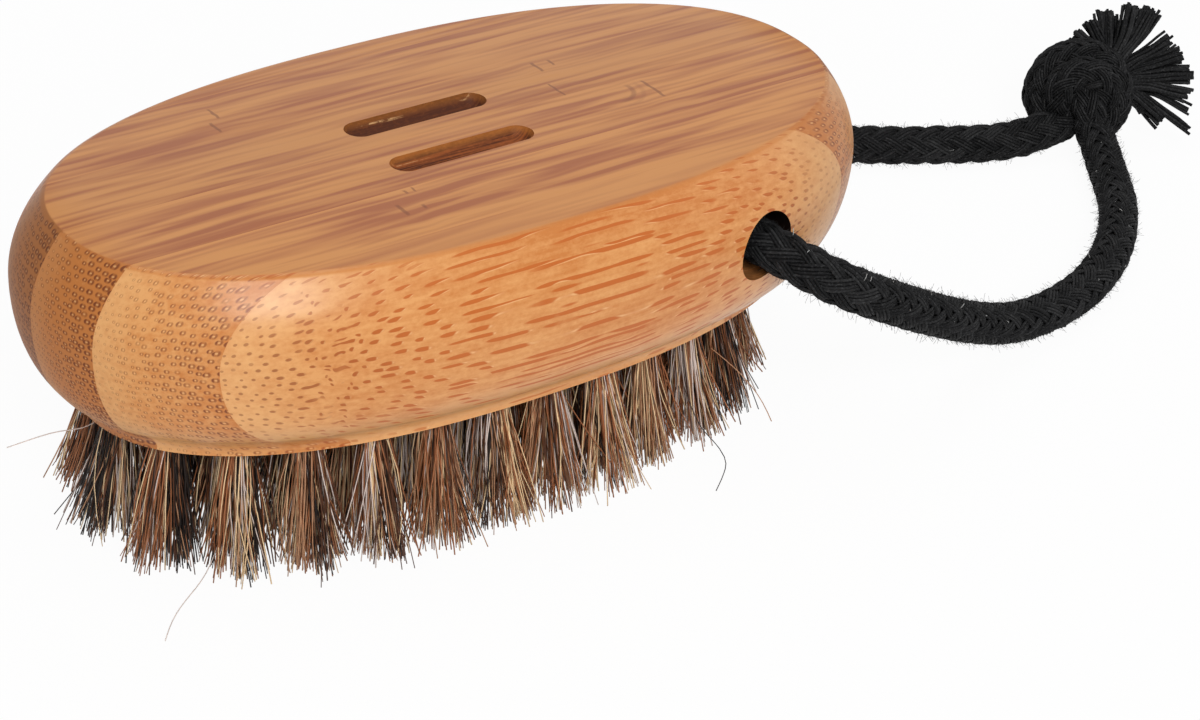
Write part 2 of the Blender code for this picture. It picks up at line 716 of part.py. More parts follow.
def make_cord(material):
    """The held stretch in the bore, both free stretches, the knot and the tassel."""
    held = [Vector((BORE_X, HELD_CORD_LENGTH * share, BORE_Z)) for share in HELD_POINT_SHARES]
    make_cord_stretch("cord_in_bore", held, material)
    near_points = smooth_route(NEAR_ROUTE, CORD_STEP)
    far_points = smooth_route(FAR_ROUTE, CORD_STEP)
    make_cord_stretch("cord_near_side", near_points, material)
    make_cord_stretch("cord_far_side", far_points, material)
    axis = Vector(TASSEL_DIRECTION).normalized()
    neck_start = Vector(KNOT_CENTRE) + axis * TASSEL_SEAT
    neck_end = Vector(KNOT_CENTRE) + axis * (KNOT_DIAMETER / 2 + TASSEL_NECK_LENGTH / 2)
    make_knot(material, near_points, far_points, neck_start, neck_end)
    make_tassel(material, neck_start, neck_end)
    for name, points in (("near", near_points), ("far", far_points)):
        length = sum((after - before).length for before, after in zip(points, points[1:]))
        print("%s side cord: %.4f m long, tightest bend radius %.4f m" % (name, length, least_bend(points)))


def main():
    """Build the brush."""
    clear_scene()
    honey = make_material("bamboo_honey", (0.74, 0.40, 0.16), 0.42)
    amber = make_material("bamboo_amber", (0.63, 0.31, 0.12), 0.42)
    hair = make_material("horsehair", (0.13, 0.08, 0.055), 0.55)
    cotton = make_material("black_cotton", (0.013, 0.013, 0.014), 0.9)
    make_block((honey, amber))
    make_tufts(hair)
    make_cord(cotton)


main()
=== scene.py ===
"""Nail brush: a laminated bamboo block, mixed horsehair in drilled holes and a braided cotton loop.

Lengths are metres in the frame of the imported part: +Z is up, the bristle tips stand on z = 0 and +X runs
towards the end with the cord bore. The block and the hair ride on the brush, and the cord on its loop.
"""

import json
import logging
import math
from collections.abc import Callable
from dataclasses import dataclass, field
from enum import Enum

import bmesh
import bpy
import numpy as np
from mathutils import Matrix, Vector


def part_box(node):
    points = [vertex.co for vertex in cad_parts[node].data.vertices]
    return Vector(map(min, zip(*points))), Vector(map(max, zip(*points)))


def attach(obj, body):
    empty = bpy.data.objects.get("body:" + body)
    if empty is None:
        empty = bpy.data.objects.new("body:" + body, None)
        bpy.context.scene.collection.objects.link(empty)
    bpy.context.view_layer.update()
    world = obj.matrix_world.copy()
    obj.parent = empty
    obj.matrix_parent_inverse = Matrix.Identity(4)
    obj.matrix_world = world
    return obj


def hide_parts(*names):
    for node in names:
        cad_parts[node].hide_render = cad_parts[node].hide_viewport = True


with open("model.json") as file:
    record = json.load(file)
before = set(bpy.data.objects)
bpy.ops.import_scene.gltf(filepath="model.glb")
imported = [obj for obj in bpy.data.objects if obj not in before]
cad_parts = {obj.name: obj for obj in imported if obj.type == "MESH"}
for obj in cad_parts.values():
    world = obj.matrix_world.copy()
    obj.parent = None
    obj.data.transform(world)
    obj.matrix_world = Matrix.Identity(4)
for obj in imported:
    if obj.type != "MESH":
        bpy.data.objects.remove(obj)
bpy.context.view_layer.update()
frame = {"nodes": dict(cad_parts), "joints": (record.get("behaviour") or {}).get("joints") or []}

Triple = tuple[float, float, float]
Ramp = tuple[float, float]
Values = tuple[float, ...]
Array = np.ndarray
Draws = np.random.Generator
Material = bpy.types.Material
Piece = bpy.types.Object

LOG = logging.getLogger("nail_brush")
MM = 0.001
LAMELLAE = tuple(f"bamboo_lamella_{number}" for number in range(1, 7))
BRUSH_BODY = "brush"
LOOP_BODY = "cord_loop"
SPLINE_PIECES = 24
WHITE = (1.0, 1.0, 1.0, 1.0)
CAMERA_RIGHT: Triple = (0.8085, -0.5859, 0.0546)
CAMERA_UP: Triple = (0.2649, 0.4452, 0.8554)


def frame_box(*nodes: str) -> tuple[Vector, Vector]:
    """Lowest and highest corner of several nodes together.

    Args:
        nodes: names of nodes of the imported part.

    Returns:
        The two corners, in metres.
    """
    corners = np.array([[tuple(corner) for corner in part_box(node)] for node in nodes])
    return Vector(corners[:, 0].min(axis=0)), Vector(corners[:, 1].max(axis=0))


BLOCK_LOW, BLOCK_HIGH = frame_box(*LAMELLAE)
UNDERSIDE_Z = BLOCK_LOW.z
TOP_Z = BLOCK_HIGH.z
BORE = Vector(frame["joints"][0]["pos_m"])


def maths(operation: str, turned: bool = False) -> Callable[..., "Shade"]:
    """Method of a shade that adds one Math node.

    Args:
        operation: what the node does.
        turned: whether the shade is the second of its two values.

    Returns:
        The method.
    """
    def method(self: "Shade", *others: "Shade | float") -> "Shade":
        """Shade from this one and the others."""
        values = (self, *others)[::-1] if turned else (self, *others)
        return self.board.node("ShaderNodeMath", {"operation": operation}, dict(enumerate(values)))
    return method


class Shade:
    """One socket of a node tree, with arithmetic that adds the Math nodes for it."""

    __add__ = __radd__ = maths("ADD")
    __sub__ = maths("SUBTRACT")
    __rsub__ = maths("SUBTRACT", turned=True)
    __mul__ = __rmul__ = maths("MULTIPLY")
    __truediv__ = maths("DIVIDE")
    __abs__ = maths("ABSOLUTE")
    floor = maths("FLOOR")
    power = maths("POWER")
    largest = maths("MAXIMUM")

    def __init__(self, board: "Board", socket: bpy.types.NodeSocket) -> None:
        """Keep the socket and the board that it is on."""
        self.board = board
        self.socket = socket

    def ramp(self, low: float, high: float) -> "Shade":
        """Smooth rise from 0 at low to 1 at high, or a fall where low is above high.

        Args:
            low: value at which the result is 0.
            high: value at which the result is 1.

        Returns:
            The smoothed share.
        """
        rising = low < high
        settings = {"interpolation_type": "SMOOTHSTEP"}
        edges = {1: min(low, high), 2: max(low, high), 3: 0.0 if rising else 1.0, 4: 1.0 if rising else 0.0}
        return self.board.node("ShaderNodeMapRange", settings, {0: self, **edges})


class Board:
    """A node tree in the making: every node but the shader maths comes from its node method."""

    def __init__(self, tree: bpy.types.NodeTree) -> None:
        """Start from an empty tree."""
        self.tree = tree
        tree.nodes.clear()

    def node(
        self, kind: str, settings: dict | None = None, inputs: dict | None = None, output: int | str = 0
    ) -> Shade:
        """Add one node.

        Args:
            kind: Blender's name for the node type.
            settings: its properties.
            inputs: values, colours or other shades by socket name or number.
            output: the output that is handed back.

        Returns:
            The chosen output.
        """
        made = self.tree.nodes.new(kind)
        for key, value in (settings or {}).items():
            setattr(made, key, value)
        for key, value in (inputs or {}).items():
            if isinstance(value, Shade):
                self.tree.links.new(value.socket, made.inputs[key])
            else:
                made.inputs[key].default_value = value
        found = made.outputs[output] if len(made.outputs) else None
        return Shade(self, found)

    def steps(self, value: Shade, stops: list[tuple[float, Triple]]) -> Shade:
        """Colour that changes in steps.

        Args:
            value: what the steps are chosen by.
            stops: the place and the colour of each step.

        Returns:
            The colour.
        """
        colour = self.node("ShaderNodeValToRGB", None, {0: value})
        ramp = colour.socket.node.color_ramp
        ramp.interpolation = "CONSTANT"
        while len(ramp.elements) < len(stops):
            ramp.elements.new(1.0)
        for element, (place, shown) in zip(ramp.elements, stops):
            element.position = place
            element.color = (*shown, 1.0)
        return colour

    def split(self, vector: Shade) -> tuple[Shade, Shade, Shade]:
        """X, Y and Z of a vector.

        Args:
            vector: the vector.

        Returns:
            Its three parts.
        """
        parts = self.node("ShaderNodeSeparateXYZ", None, {0: vector})
        outputs = parts.socket.node.outputs
        return Shade(self, outputs[0]), Shade(self, outputs[1]), Shade(self, outputs[2])

    def also(self, shade: Shade, output: str) -> Shade:
        """Another output of the node that a shade comes from."""
        return Shade(self, shade.socket.node.outputs[output])

    def length(self, vector: Shade) -> Shade:
        """Length of a vector."""
        return self.node("ShaderNodeVectorMath", {"operation": "LENGTH"}, {0: vector}, output="Value")

    def join(self, x: "Shade | float", y: "Shade | float", z: "Shade | float") -> Shade:
        """Vector from three values."""
        return self.node("ShaderNodeCombineXYZ", None, {0: x, 1: y, 2: z})

    def place(self) -> Shade:
        """Object coordinates, in metres."""
        return self.node("ShaderNodeTexCoord", output="Object")

    def attribute(self, name: str) -> Shade:
        """Number that a mesh carries on its points or faces."""
        return self.node("ShaderNodeAttribute", {"attribute_name": name}, output="Fac")

    def noise(self, vector: Shade, scale: float, detail: float = 2.0, roughness: float = 0.5) -> Shade:
        """Fractal noise from 0 to 1."""
        inputs = {"Vector": vector, "Scale": scale, "Detail": detail, "Roughness": roughness}
        return self.node("ShaderNodeTexNoise", None, inputs)

    def mix(
        self, share: "Shade | float", start: "Shade | Triple", end: "Shade | Triple", blend: str = "MIX"
    ) -> Shade:
        """Colour between two colours.

        Args:
            share: 0 for the first colour and 1 for the second.
            start: first colour, three numbers or a shade.
            end: second colour.
            blend: how the second colour is laid on the first.

        Returns:
            The mixed colour.
        """
        colours = [value if isinstance(value, Shade) else (*value, 1.0) for value in (start, end)]
        settings = {"data_type": "RGBA", "blend_type": blend, "clamp_factor": True}
        inputs = {0: share, 6: colours[0], 7: colours[1]}
        return self.node("ShaderNodeMix", settings, inputs, output=2)

    def bump(self, height: Shade, distance: float, strength: float = 1.0) -> Shade:
        """Normal bent by a height between 0 and 1."""
        inputs = {"Strength": strength, "Distance": distance, "Height": height}
        return self.node("ShaderNodeBump", None, inputs)

    def surface(self, **sockets: "Shade | float | tuple") -> None:
        """Principled surface with its sockets named in words, such as base_color.

        Args:
            sockets: a value or a shade for each socket.
        """
        inputs = {}
        for key, value in sockets.items():
            inputs[key.replace("_", " ").title().replace("Ior", "IOR")] = value
        shader = self.node("ShaderNodeBsdfPrincipled", None, inputs)
        self.node("ShaderNodeOutputMaterial", None, {"Surface": shader})


def new_board(name: str) -> tuple[Material, Board]:
    """A new material and the board of its nodes.

    Args:
        name: the material's name.

    Returns:
        The material and the board.
    """
    material = bpy.data.materials.new(name)
    material.use_nodes = True
    return material, Board(material.node_tree)


@dataclass(frozen=True)
class Spot:
    """The place on the bamboo that is shaded, and how the wood lies there.

    The number is the lamella's, from 0. Inward falls from 1 at its near face to 0 at its far one, end_grain
    is 1 where the fibres are cut across, and on_top is 1 on the planed face.
    """

    board: Board
    x: Shade
    y: Shade
    z: Shade
    number: Shade
    inward: Shade
    end_grain: Shade
    on_top: Shade

    def noise(
        self, scales: Triple, shift: tuple = (0.0, 0.0, 0.0), detail: float = 1.0, rough: float = 0.5
    ) -> Shade:
        """Noise from 0 to 1 that is stretched along the axes.

        Args:
            scales: waves per metre along each axis.
            shift: what is added along each axis.
            detail: how many finer layers it has.
            rough: how strong these are.

        Returns:
            The noise.
        """
        axes = zip((self.x, self.y, self.z), scales, shift)
        parts = [axis * scale + move if move else axis * scale for axis, scale, move in axes]
        return self.board.noise(self.board.join(*parts), 1.0, detail, rough)

    def by_lamella(self, values: Values) -> Shade:
        """The value at this place, from one value for each lamella.

        Args:
            values: one for each lamella, from the near side on.

        Returns:
            The value.
        """
        count = len(values)
        low, high = min(values), max(values)
        stops = [(index / count, ((value - low) / (high - low),) * 3) for index, value in enumerate(values)]
        grey = self.board.steps((self.number + 0.5) / count, stops)
        return self.board.node("ShaderNodeRGBToBW", None, {0: grey}) * (high - low) + low

    def near_joint(self, places: Values, reach: Ramp) -> Shade:
        """1 at a joint of the culm, from its place along each lamella."""
        return abs(self.x - self.by_lamella(places)).ramp(*reach)


@dataclass(frozen=True)
class BambooFinish:
    """Lacquered bamboo with fibres along X, in lamellae side by side along Y.

    Fibre bundles run through the whole solid, so they show as eyes on the rounded ends, as dashes where
    the flank turns and as long streaks along it, as in the real wood. Six values are one for each lamella
    from the near side on, a Ramp is where a smooth rise or fall starts and ends, and a Triple named waves
    is a noise's waves per metre.
    """

    lamella: float = 9.4 * MM
    first_line_y: float = -27.8 * MM
    tones: Values = (1.02, 1.0, 0.88, 0.62, 0.82, 0.93)
    ambers: Values = (0.0, 0.02, 0.84, 1.0, 0.45, 0.20)
    cells_across: Values = (0.62, 0.65, 0.92, 0.94, 0.86, 0.70)
    cells_up: Values = (0.86, 0.78, 0.66, 0.72, 0.80, 0.90)
    bundle_sizes: Values = (0.27, 0.33, 0.40, 0.38, 0.35, 0.28)
    bundle_depths: Values = (1.35, 0.98, 1.25, 1.1, 0.95, 1.2)
    pale_cores: Values = (0.0, 0.85, 0.80, 0.70, 0.75, 0.0)
    joints: Values = (-29.0 * MM, -13.3 * MM, 22.6 * MM, 15.6 * MM, -21.0 * MM, 31.0 * MM)
    sway_waves: Triple = (32.0, 30.0, 30.0)
    curl_waves: Triple = (420.0, 420.0, 420.0)
    ripple_waves: Triple = (150.0, 70.0, 70.0)
    bundle_drift: float = 1.3 * MM
    bundle_ripple: float = 0.42 * MM
    joint_curl: float = 2.4 * MM
    joint_curl_up: float = 1.6 * MM
    cell_lean: float = 0.5
    cell_luck: float = 0.45
    wander: float = 1.25
    ring: Ramp = (1.22, 0.74)
    core: Ramp = (0.50, 0.16)
    caps: Ramp = (0.16, 0.58)
    tail: Ramp = (-0.45, -0.80)
    bare_from: Ramp = (27.0 * MM, 33.0 * MM)
    grain_waves: Triple = (90.0, 1500.0, 1500.0)
    mottle_waves: Triple = (1500.0, 2400.0, 2400.0)
    cloud_waves: Triple = (50.0, 120.0, 120.0)
    blotch_waves: Triple = (420.0, 700.0, 700.0)
    lines_waves: Triple = (60.0, 2600.0, 0.0)
    specks_waves: Triple = (1500.0, 3000.0, 3000.0)
    streak_layers: tuple[tuple[float, float, float, float], ...] = (
        (44.0, 0.85, 5.0, 1.0), (75.0, 1.45, 9.0, 0.0), (12.0, 0.30, 2.0, 1.0),
    )
    glue_width: float = 0.06 * MM
    honey: Triple = (0.680, 0.315, 0.105)
    amber: Triple = (0.540, 0.185, 0.040)
    bundle_orange: Triple = (0.490, 0.118, 0.014)
    bundle_brown: Triple = (0.190, 0.045, 0.010)
    core_pale: Triple = (0.840, 0.510, 0.230)
    foot_olive_and_shade: Triple = (0.520, 0.290, 0.120)
    top_pale: Triple = (0.634, 0.276, 0.086)
    top_streak: Triple = (0.392, 0.124, 0.043)
    top_mark: Triple = (0.200, 0.056, 0.018)
    # Painted shadow: near black for the upper inside of the bore.
    bore_painted_shadow: Triple = (0.010, 0.003, 0.001)
    # Painted shade: the cut wood darkened where shade falls inside the cuts, least at a groove's mouth.
    routed_dark_and_shade: Triple = (0.060, 0.012, 0.002)
    routed_mid_and_shade: Triple = (0.270, 0.070, 0.014)
    routed_mouth_painted_light: Triple = (0.440, 0.150, 0.030)
    ticks: tuple[tuple[float, float, float, float], ...] = (
        (-14.85, -14.0, -11.7, 0.17), (-12.5, -13.7, -12.9, 0.15), (-12.5, -10.1, -9.4, 0.14),
        (-11.5, -10.1, -9.2, 0.10), (16.0, 6.5, 8.8, 0.16), (18.05, 7.2, 8.5, 0.14),
        (14.65, 0.4, 3.5, 0.12), (24.1, -5.2, -0.9, 0.15), (-22.0, 11.2, 13.5, 0.15),
        (-20.6, 14.1, 16.4, 0.14), (31.0, 20.4, 22.0, 0.14),
    )
    hook_centre: tuple[float, float] = (19.5, -1.5)
    hooks: tuple[tuple[float, float, float], ...] = ((2.5, 0.45, 1.0), (3.6, 0.40, 0.35))

    def cells(self, spot: Spot) -> tuple[Shade, Shade, Shade, Shade]:
        """Where in its bundle's cell a place is, in a bundle's radii.

        The cells lean and run along X, and sway a little, more at the culm's joints.

        Args:
            spot: the place that is shaded.

        Returns:
            The way aside and up from the bundle's middle, how far that is, and how clearly the bundle shows.
        """
        board, number = spot.board, spot.number
        stir = spot.near_joint(self.joints, (4.0 * MM, 0.4 * MM))
        sway = spot.noise(self.sway_waves, (0.0, 0.0, number)) - 0.5
        dip = spot.noise(self.sway_waves, (9.0, 4.0, number)) - 0.5
        curl = spot.noise(self.curl_waves) - 0.5
        cell_across = spot.by_lamella(self.cells_across) * MM
        cell_up = spot.by_lamella(self.cells_up) * MM
        ripple = (spot.noise(self.ripple_waves, (0.0, 0.0, number)) - 0.5) * self.bundle_ripple
        moved_y = spot.y + sway * self.bundle_drift + ripple + curl * stir * self.joint_curl
        moved_z = spot.z + dip * self.bundle_drift - ripple - curl * stir * self.joint_curl_up
        up = moved_z / cell_up + number * 3.9
        across = moved_y / cell_across + number * 7.3 + up * self.cell_lean
        settings = {"voronoi_dimensions": "2D", "feature": "F1"}
        inputs = {"Vector": board.join(across, up, 0.0), "Scale": 1.0, "Randomness": self.cell_luck}
        cells = board.node("ShaderNodeTexVoronoi", settings, inputs, "Color")
        luck = board.split(cells)
        middle = board.split(board.also(cells, "Position"))
        rise = up - middle[1]
        way, lot = luck[1] * 60.0, luck[2] * 40.0
        stray = board.noise(board.join(spot.x * 120.0 + way, lot, 7.0), 1.0, 1.0) - 0.5
        side = across - middle[0] - rise * self.cell_lean + stray * (1.0 - spot.end_grain) * self.wander
        size = (spot.inward * 0.50 + 0.60) * (luck[0] * 0.40 + 0.80) * spot.by_lamella(self.bundle_sizes)
        side, rise = side / size, rise / size
        fade = board.noise(board.join(spot.x * 150.0 + way, lot, number), 1.0, 1.0).ramp(0.26, 0.42)
        return side, rise, board.length(board.join(side, rise, 0.0)), fade

    def bundles(self, spot: Spot) -> tuple[Shade, Shade]:
        """Fibre bundles: how much of a bundle's dark cap, and of its pale core, is at a place.

        Args:
            spot: the place that is shaded.

        Returns:
            The dark and the pale share.
        """
        side, rise, away, fade = self.cells(spot)
        board = spot.board
        hollow = spot.by_lamella(self.pale_cores)
        ring = away.ramp(*self.ring)
        core = board.length(board.join(side + 0.04, rise * 1.15, 0.0)).ramp(*self.core) * hollow
        caps = abs(side).ramp(*self.caps) * side.ramp(-1.7, 0.2)
        tail = side.ramp(*self.tail) * (1.0 - spot.end_grain) * ring
        depth = spot.by_lamella(self.bundle_depths) * (spot.inward * 0.66 + 0.38)
        dark = ring * (caps * hollow * 0.75 + 1.0 - hollow * 0.75) * (1.0 - core) * (1.0 - tail) * depth
        bare = spot.x.ramp(*self.bare_from) * spot.inward.ramp(0.55, 0.30)
        dark = dark * (fade * 0.75 + 0.25) * (1.0 - bare * 0.55)
        return dark, (core + tail) * (fade * 0.5 + 0.5) + bare * 0.22

    def top_marks(self, spot: Spot) -> Shade:
        """Ticks across the grain, where the culm had its joints, and one hooked streak.

        Args:
            spot: the place that is shaded.

        Returns:
            How dark the place is.
        """
        x, y = spot.x, spot.y
        wobble = (spot.noise((900.0, 900.0, 0.0)) - 0.5) * (0.35 * MM)
        total = 0.0
        for mark_x, low, high, half_width in self.ticks:
            line = abs(x + wobble - mark_x * MM).ramp(half_width * 1.7 * MM, half_width * 0.6 * MM)
            half_run = (high - low) / 2 * MM
            run = abs(y - (low + high) / 2 * MM).ramp(half_run + 0.25 * MM, half_run - 0.2 * MM)
            total = line * run + total
        centre_x, centre_y = (value * MM for value in self.hook_centre)
        away = spot.board.length(spot.board.join(x - centre_x, y - centre_y, 0.0))
        turned = (x - (centre_x - 1.0 * MM)).ramp(0.0, 1.6 * MM)
        turned = turned * (centre_y + 1.0 * MM - y).ramp(0.0, 1.0 * MM)
        hook = 0.0
        for radius, half_width, strength in self.hooks:
            hook = abs(away - radius * MM).ramp(half_width * MM, 0.1 * MM) * strength + hook
        return total * 0.62 + hook * turned * 0.42

    def top_colour(self, spot: Spot) -> Shade:
        """Planed face: fine pinkish streaks on tan.

        Args:
            spot: the place that is shaded.

        Returns:
            The colour.
        """
        board = spot.board
        wave = (spot.noise((50.0, 110.0, 0.0)) - 0.5) * 1.1
        near_joint = spot.near_joint(self.joints, (7.0 * MM, 0.5 * MM))
        bulge = (spot.noise((180.0, 180.0, 0.0), (0.0, 0.0, 3.0)) - 0.5) * near_joint
        across = spot.y / MM + wave + bulge
        fine, thin, broad = (
            board.noise(board.join(spot.x * along, across * aside, spot.number * shift), 1.0, detail)
            for along, aside, shift, detail in self.streak_layers
        )
        streaks = fine.ramp(0.38, 0.72) * 0.80 + thin.ramp(0.42, 0.80) * 0.46 + (broad - 0.50) * 1.9
        near_half = spot.y.ramp(6.0 * MM, -8.0 * MM)
        edge = (spot.y + 17.0 * MM).ramp(0.5 * MM, -2.5 * MM)
        streaks = streaks * (near_half * 0.20 + 0.95) * (1.0 - edge * 0.6)
        colour = board.mix(streaks, self.top_pale, self.top_streak)
        return board.mix(self.top_marks(spot), colour, self.top_mark)

    def routed_colour_and_shade(self, spot: Spot) -> Shade:
        """Cut wood in the grooves and the bore, darkened by painted shade and lightened by painted light.

        Args:
            spot: the place that is shaded.

        Returns:
            The colour.
        """
        board, z = spot.board, spot.z
        lines = spot.noise(self.lines_waves, detail=2.0, rough=0.7)
        specks = spot.noise(self.specks_waves, detail=2.0, rough=0.7)
        far = spot.y.ramp(-1.0 * MM, 2.0 * MM)
        share = lines.ramp(0.38, 0.62) * (1.0 - far * 0.85) + specks.ramp(0.45, 0.75) * (0.35 - far * 0.15)
        # Painted shade: the inside of the cuts is coloured far darker than the flank, and darker again in
        # the far groove.
        colour = board.mix(share, self.routed_dark_and_shade, self.routed_mid_and_shade)
        colour = board.mix(lines.ramp(0.64, 0.72) * specks.ramp(0.35, 0.60) * 0.75, colour, self.core_pale)
        # Painted light: lighter towards the mouth of a groove, where its walls catch the light.
        mouth = z.ramp(TOP_Z - 0.95 * MM, TOP_Z - 0.15 * MM)
        colour = board.mix(mouth * (specks * 0.8 + 0.4) * (1.0 - far * 0.4), colour, self.routed_mouth_painted_light)
        # Painted shadow: the upper inside of the bore is coloured near black.
        in_bore = z.ramp(TOP_Z - 2.2 * MM, TOP_Z - 2.8 * MM) * z.ramp(BORE.z - 3.6 * MM, BORE.z - 2.2 * MM)
        colour = board.mix(in_bore, colour, self.bore_painted_shadow)
        # Painted light: the lower inside of the bore is lightened towards the top's pale colour.
        lit = z.ramp(BORE.z - 5.0 * MM, BORE.z - 4.3 * MM) * z.ramp(BORE.z - 2.2 * MM, BORE.z - 3.2 * MM)
        return board.mix(lit * (specks * 0.4 + 0.20), colour, self.top_pale)

    def flank_colour(self, spot: Spot, rim: Shade, grain: Shade, mottle: Shade) -> Shade:
        """Honey to amber wood, paler at each lamella's inner side and under the crease.

        Args:
            spot: the place that is shaded.
            rim: 1 on the eased top edge.
            grain: fine noise along the fibres.
            mottle: fine noise all ways.

        Returns:
            The colour without its bundles.
        """
        board, z = spot.board, spot.z
        cloud = spot.noise(self.cloud_waves, (0.0, 0.0, spot.number * 3.0), detail=2.0)
        blotch = spot.noise(self.blotch_waves, detail=2.0, rough=0.6)
        fine = (grain - 0.5) * 1.5 + (mottle - 0.5) * 1.2 + (blotch - 0.5) * 0.9
        warm = cloud.ramp(0.35, 0.70) * 0.34 + fine + 0.14
        dense_side = spot.inward.power(3.0) * (1.0 - spot.number.ramp(0.4, -0.4)) * 0.50
        crease = z.ramp(TOP_Z - 7.0 * MM, TOP_Z - 1.0 * MM) * spot.x.ramp(-16.0 * MM, 6.0 * MM) * 0.40
        rich = spot.by_lamella(self.ambers)
        flank = board.mix(warm + rich + dense_side + crease, self.honey, self.amber)
        flank = board.mix(spot.inward.ramp(0.50, 0.02) * (0.30 - rich * 0.2), flank, self.core_pale)
        flank = board.mix(rim * 0.62, flank, self.amber)
        # Olive band low on the flank, just above the lip where the flank turns under: partly the wood's
        # colour, partly painted shade.
        foot = z.ramp(UNDERSIDE_Z + 7.0 * MM, UNDERSIDE_Z + 2.6 * MM)
        foot = foot * z.ramp(UNDERSIDE_Z + 1.1 * MM, UNDERSIDE_Z + 2.2 * MM)
        return board.mix(foot * (grain * 0.5 + 0.28), flank, self.foot_olive_and_shade)

    def make(self) -> Material:
        """Build the material.

        Returns:
            The material.
        """
        material, board = new_board("lacquered_bamboo")
        x, y, z = board.split(board.place())
        facing = board.split(board.node("ShaderNodeTexCoord", output="Normal"))
        across = (y - self.first_line_y) / self.lamella
        number = across.floor()
        inward = 1.0 - (across - number)
        on_top = facing[2].ramp(0.93, 0.99)
        spot = Spot(board, x, y, z, number, inward, abs(facing[0]).ramp(0.10, 0.55), on_top)
        grain = spot.noise(self.grain_waves, detail=2.0, rough=0.6)
        mottle = spot.noise(self.mottle_waves, detail=2.0, rough=0.7)

        flank = self.flank_colour(spot, facing[2].ramp(0.58, 0.80), grain, mottle)
        dark, core = self.bundles(spot)
        bundle = board.mix(spot.end_grain, self.bundle_orange, self.bundle_brown)
        flank = board.mix(core * 0.62, flank, self.core_pale)
        flank = board.mix(dark, flank, bundle)
        colour = board.mix(on_top, flank, self.top_colour(spot))
        # Painted shade: both ends of the block are coloured 2% darker.
        tip = abs(x).ramp(40.0 * MM, 48.0 * MM)
        # Painted shade: the right end, off the top, is coloured 12% darker, as if less light fell there.
        right = x.ramp(26.0 * MM, 38.0 * MM) * (1.0 - on_top)
        tone = spot.by_lamella(self.tones)
        toned_and_shaded = (tone + (1.0 - tone) * on_top * 0.85) * (1.0 - tip * 0.02 - right * 0.12)
        colour = board.mix(1.0, colour, board.join(toned_and_shaded, toned_and_shaded, toned_and_shaded), "MULTIPLY")
        glue = abs(inward - 0.5).ramp(0.5 - self.glue_width / self.lamella * 2, 0.5)
        colour = board.mix(glue * 0.10, colour, self.bundle_orange)
        routed = board.attribute("routed")
        colour = board.mix(routed, colour, self.routed_colour_and_shade(spot))
        board.surface(
            base_color=colour,
            roughness=grain * 0.10 + dark * 0.06 + routed * 0.25 + tip * 0.22 + 0.33,
            coat_weight=(1.0 - routed) * (0.24 - on_top * 0.17) * (1.0 - tip * 0.75) * (1.0 - right * 0.40),
            coat_roughness=0.20,
            specular_ior_level=0.24,
            normal=board.bump(grain * 0.30 + mottle * 0.35, 0.03 * MM, 0.4),
        )
        return material


class Hair(Enum):
    """Kinds of horsehair in the mix: how much of it there is, and its colour."""

    BLACK = (0.14, (0.018, 0.012, 0.010))
    DARK_BROWN = (0.19, (0.100, 0.040, 0.020))
    RED_BROWN = (0.25, (0.370, 0.142, 0.060))
    SANDY = (0.15, (0.500, 0.270, 0.150))
    BLOND = (0.15, (0.840, 0.620, 0.370))
    GREY = (0.12, (0.720, 0.620, 0.570))

    def __init__(self, share: float, colour: Triple) -> None:
        """Name the two values."""
        self.share = share
        self.colour = colour


@dataclass(frozen=True)
class HairFinish:
    """Horsehair of mixed colours, each strand of one kind."""

    waves: Triple = (900.0, 900.0, 260.0)
    roughness: float = 0.42
    specular: float = 0.22

    def make(self) -> Material:
        """Build the material, which reads each strand's own number.

        Returns:
            The material.
        """
        material, board = new_board("mixed_horsehair")
        stops, reached = [], 0.0
        for kind in Hair:
            stops.append((reached, kind.colour))
            reached += kind.share
        kind_colour = board.steps(board.attribute("kind"), stops)
        x, y, z = board.split(board.place())
        along_x, along_y, along_z = self.waves
        mottle = board.noise(board.join(x * along_x, y * along_y, z * along_z), 1.0, 2.0)
        pale = mottle * 0.45 + 0.80
        colour = board.mix(1.0, kind_colour, board.join(pale, pale, pale), "MULTIPLY")
        roughness = mottle * 0.15 + self.roughness
        board.surface(base_color=colour, roughness=roughness, specular_ior_level=self.specular)
        return material


@dataclass(frozen=True)
class CottonFinish:
    """Black cotton yarn with a dusty, fibrous surface."""

    black: Triple = (0.0048, 0.0048, 0.0052)
    dusty: Triple = (0.0430, 0.0430, 0.0440)
    lint: Triple = (0.45, 0.45, 0.44)
    fibre_waves: float = 3600.0
    patch_waves: float = 420.0
    roughness: float = 0.62
    specular: float = 0.13

    def make(self) -> Material:
        """Build the material.

        Returns:
            The material.
        """
        material, board = new_board("black_cotton")
        place = board.place()
        fibres = board.noise(place, self.fibre_waves, 3.0, 0.70)
        patches = board.noise(place, self.patch_waves, 2.0)
        strand = board.attribute("strand")
        share = fibres.ramp(0.48, 0.70) * 0.80 + patches.ramp(0.45, 0.75) * 0.22 + (strand - 0.5) * 0.60
        colour = board.mix(share, self.black, self.dusty)
        colour = board.mix(board.attribute("lint"), colour, self.lint)
        board.surface(
            base_color=colour,
            roughness=fibres * 0.15 + self.roughness,
            specular_ior_level=self.specular,
            normal=board.bump(fibres, 0.05 * MM, 0.8),
        )
        return material


def deselect_all() -> None:
    """Leave edit mode and select nothing."""
    if bpy.context.mode != "OBJECT":
        bpy.ops.object.mode_set(mode="OBJECT")
    bpy.ops.object.select_all(action="DESELECT")


def make_active(piece: Piece) -> None:
    """Select one object alone.

    Args:
        piece: the object.
    """
    deselect_all()
    piece.select_set(True)
    bpy.context.view_layer.objects.active = piece


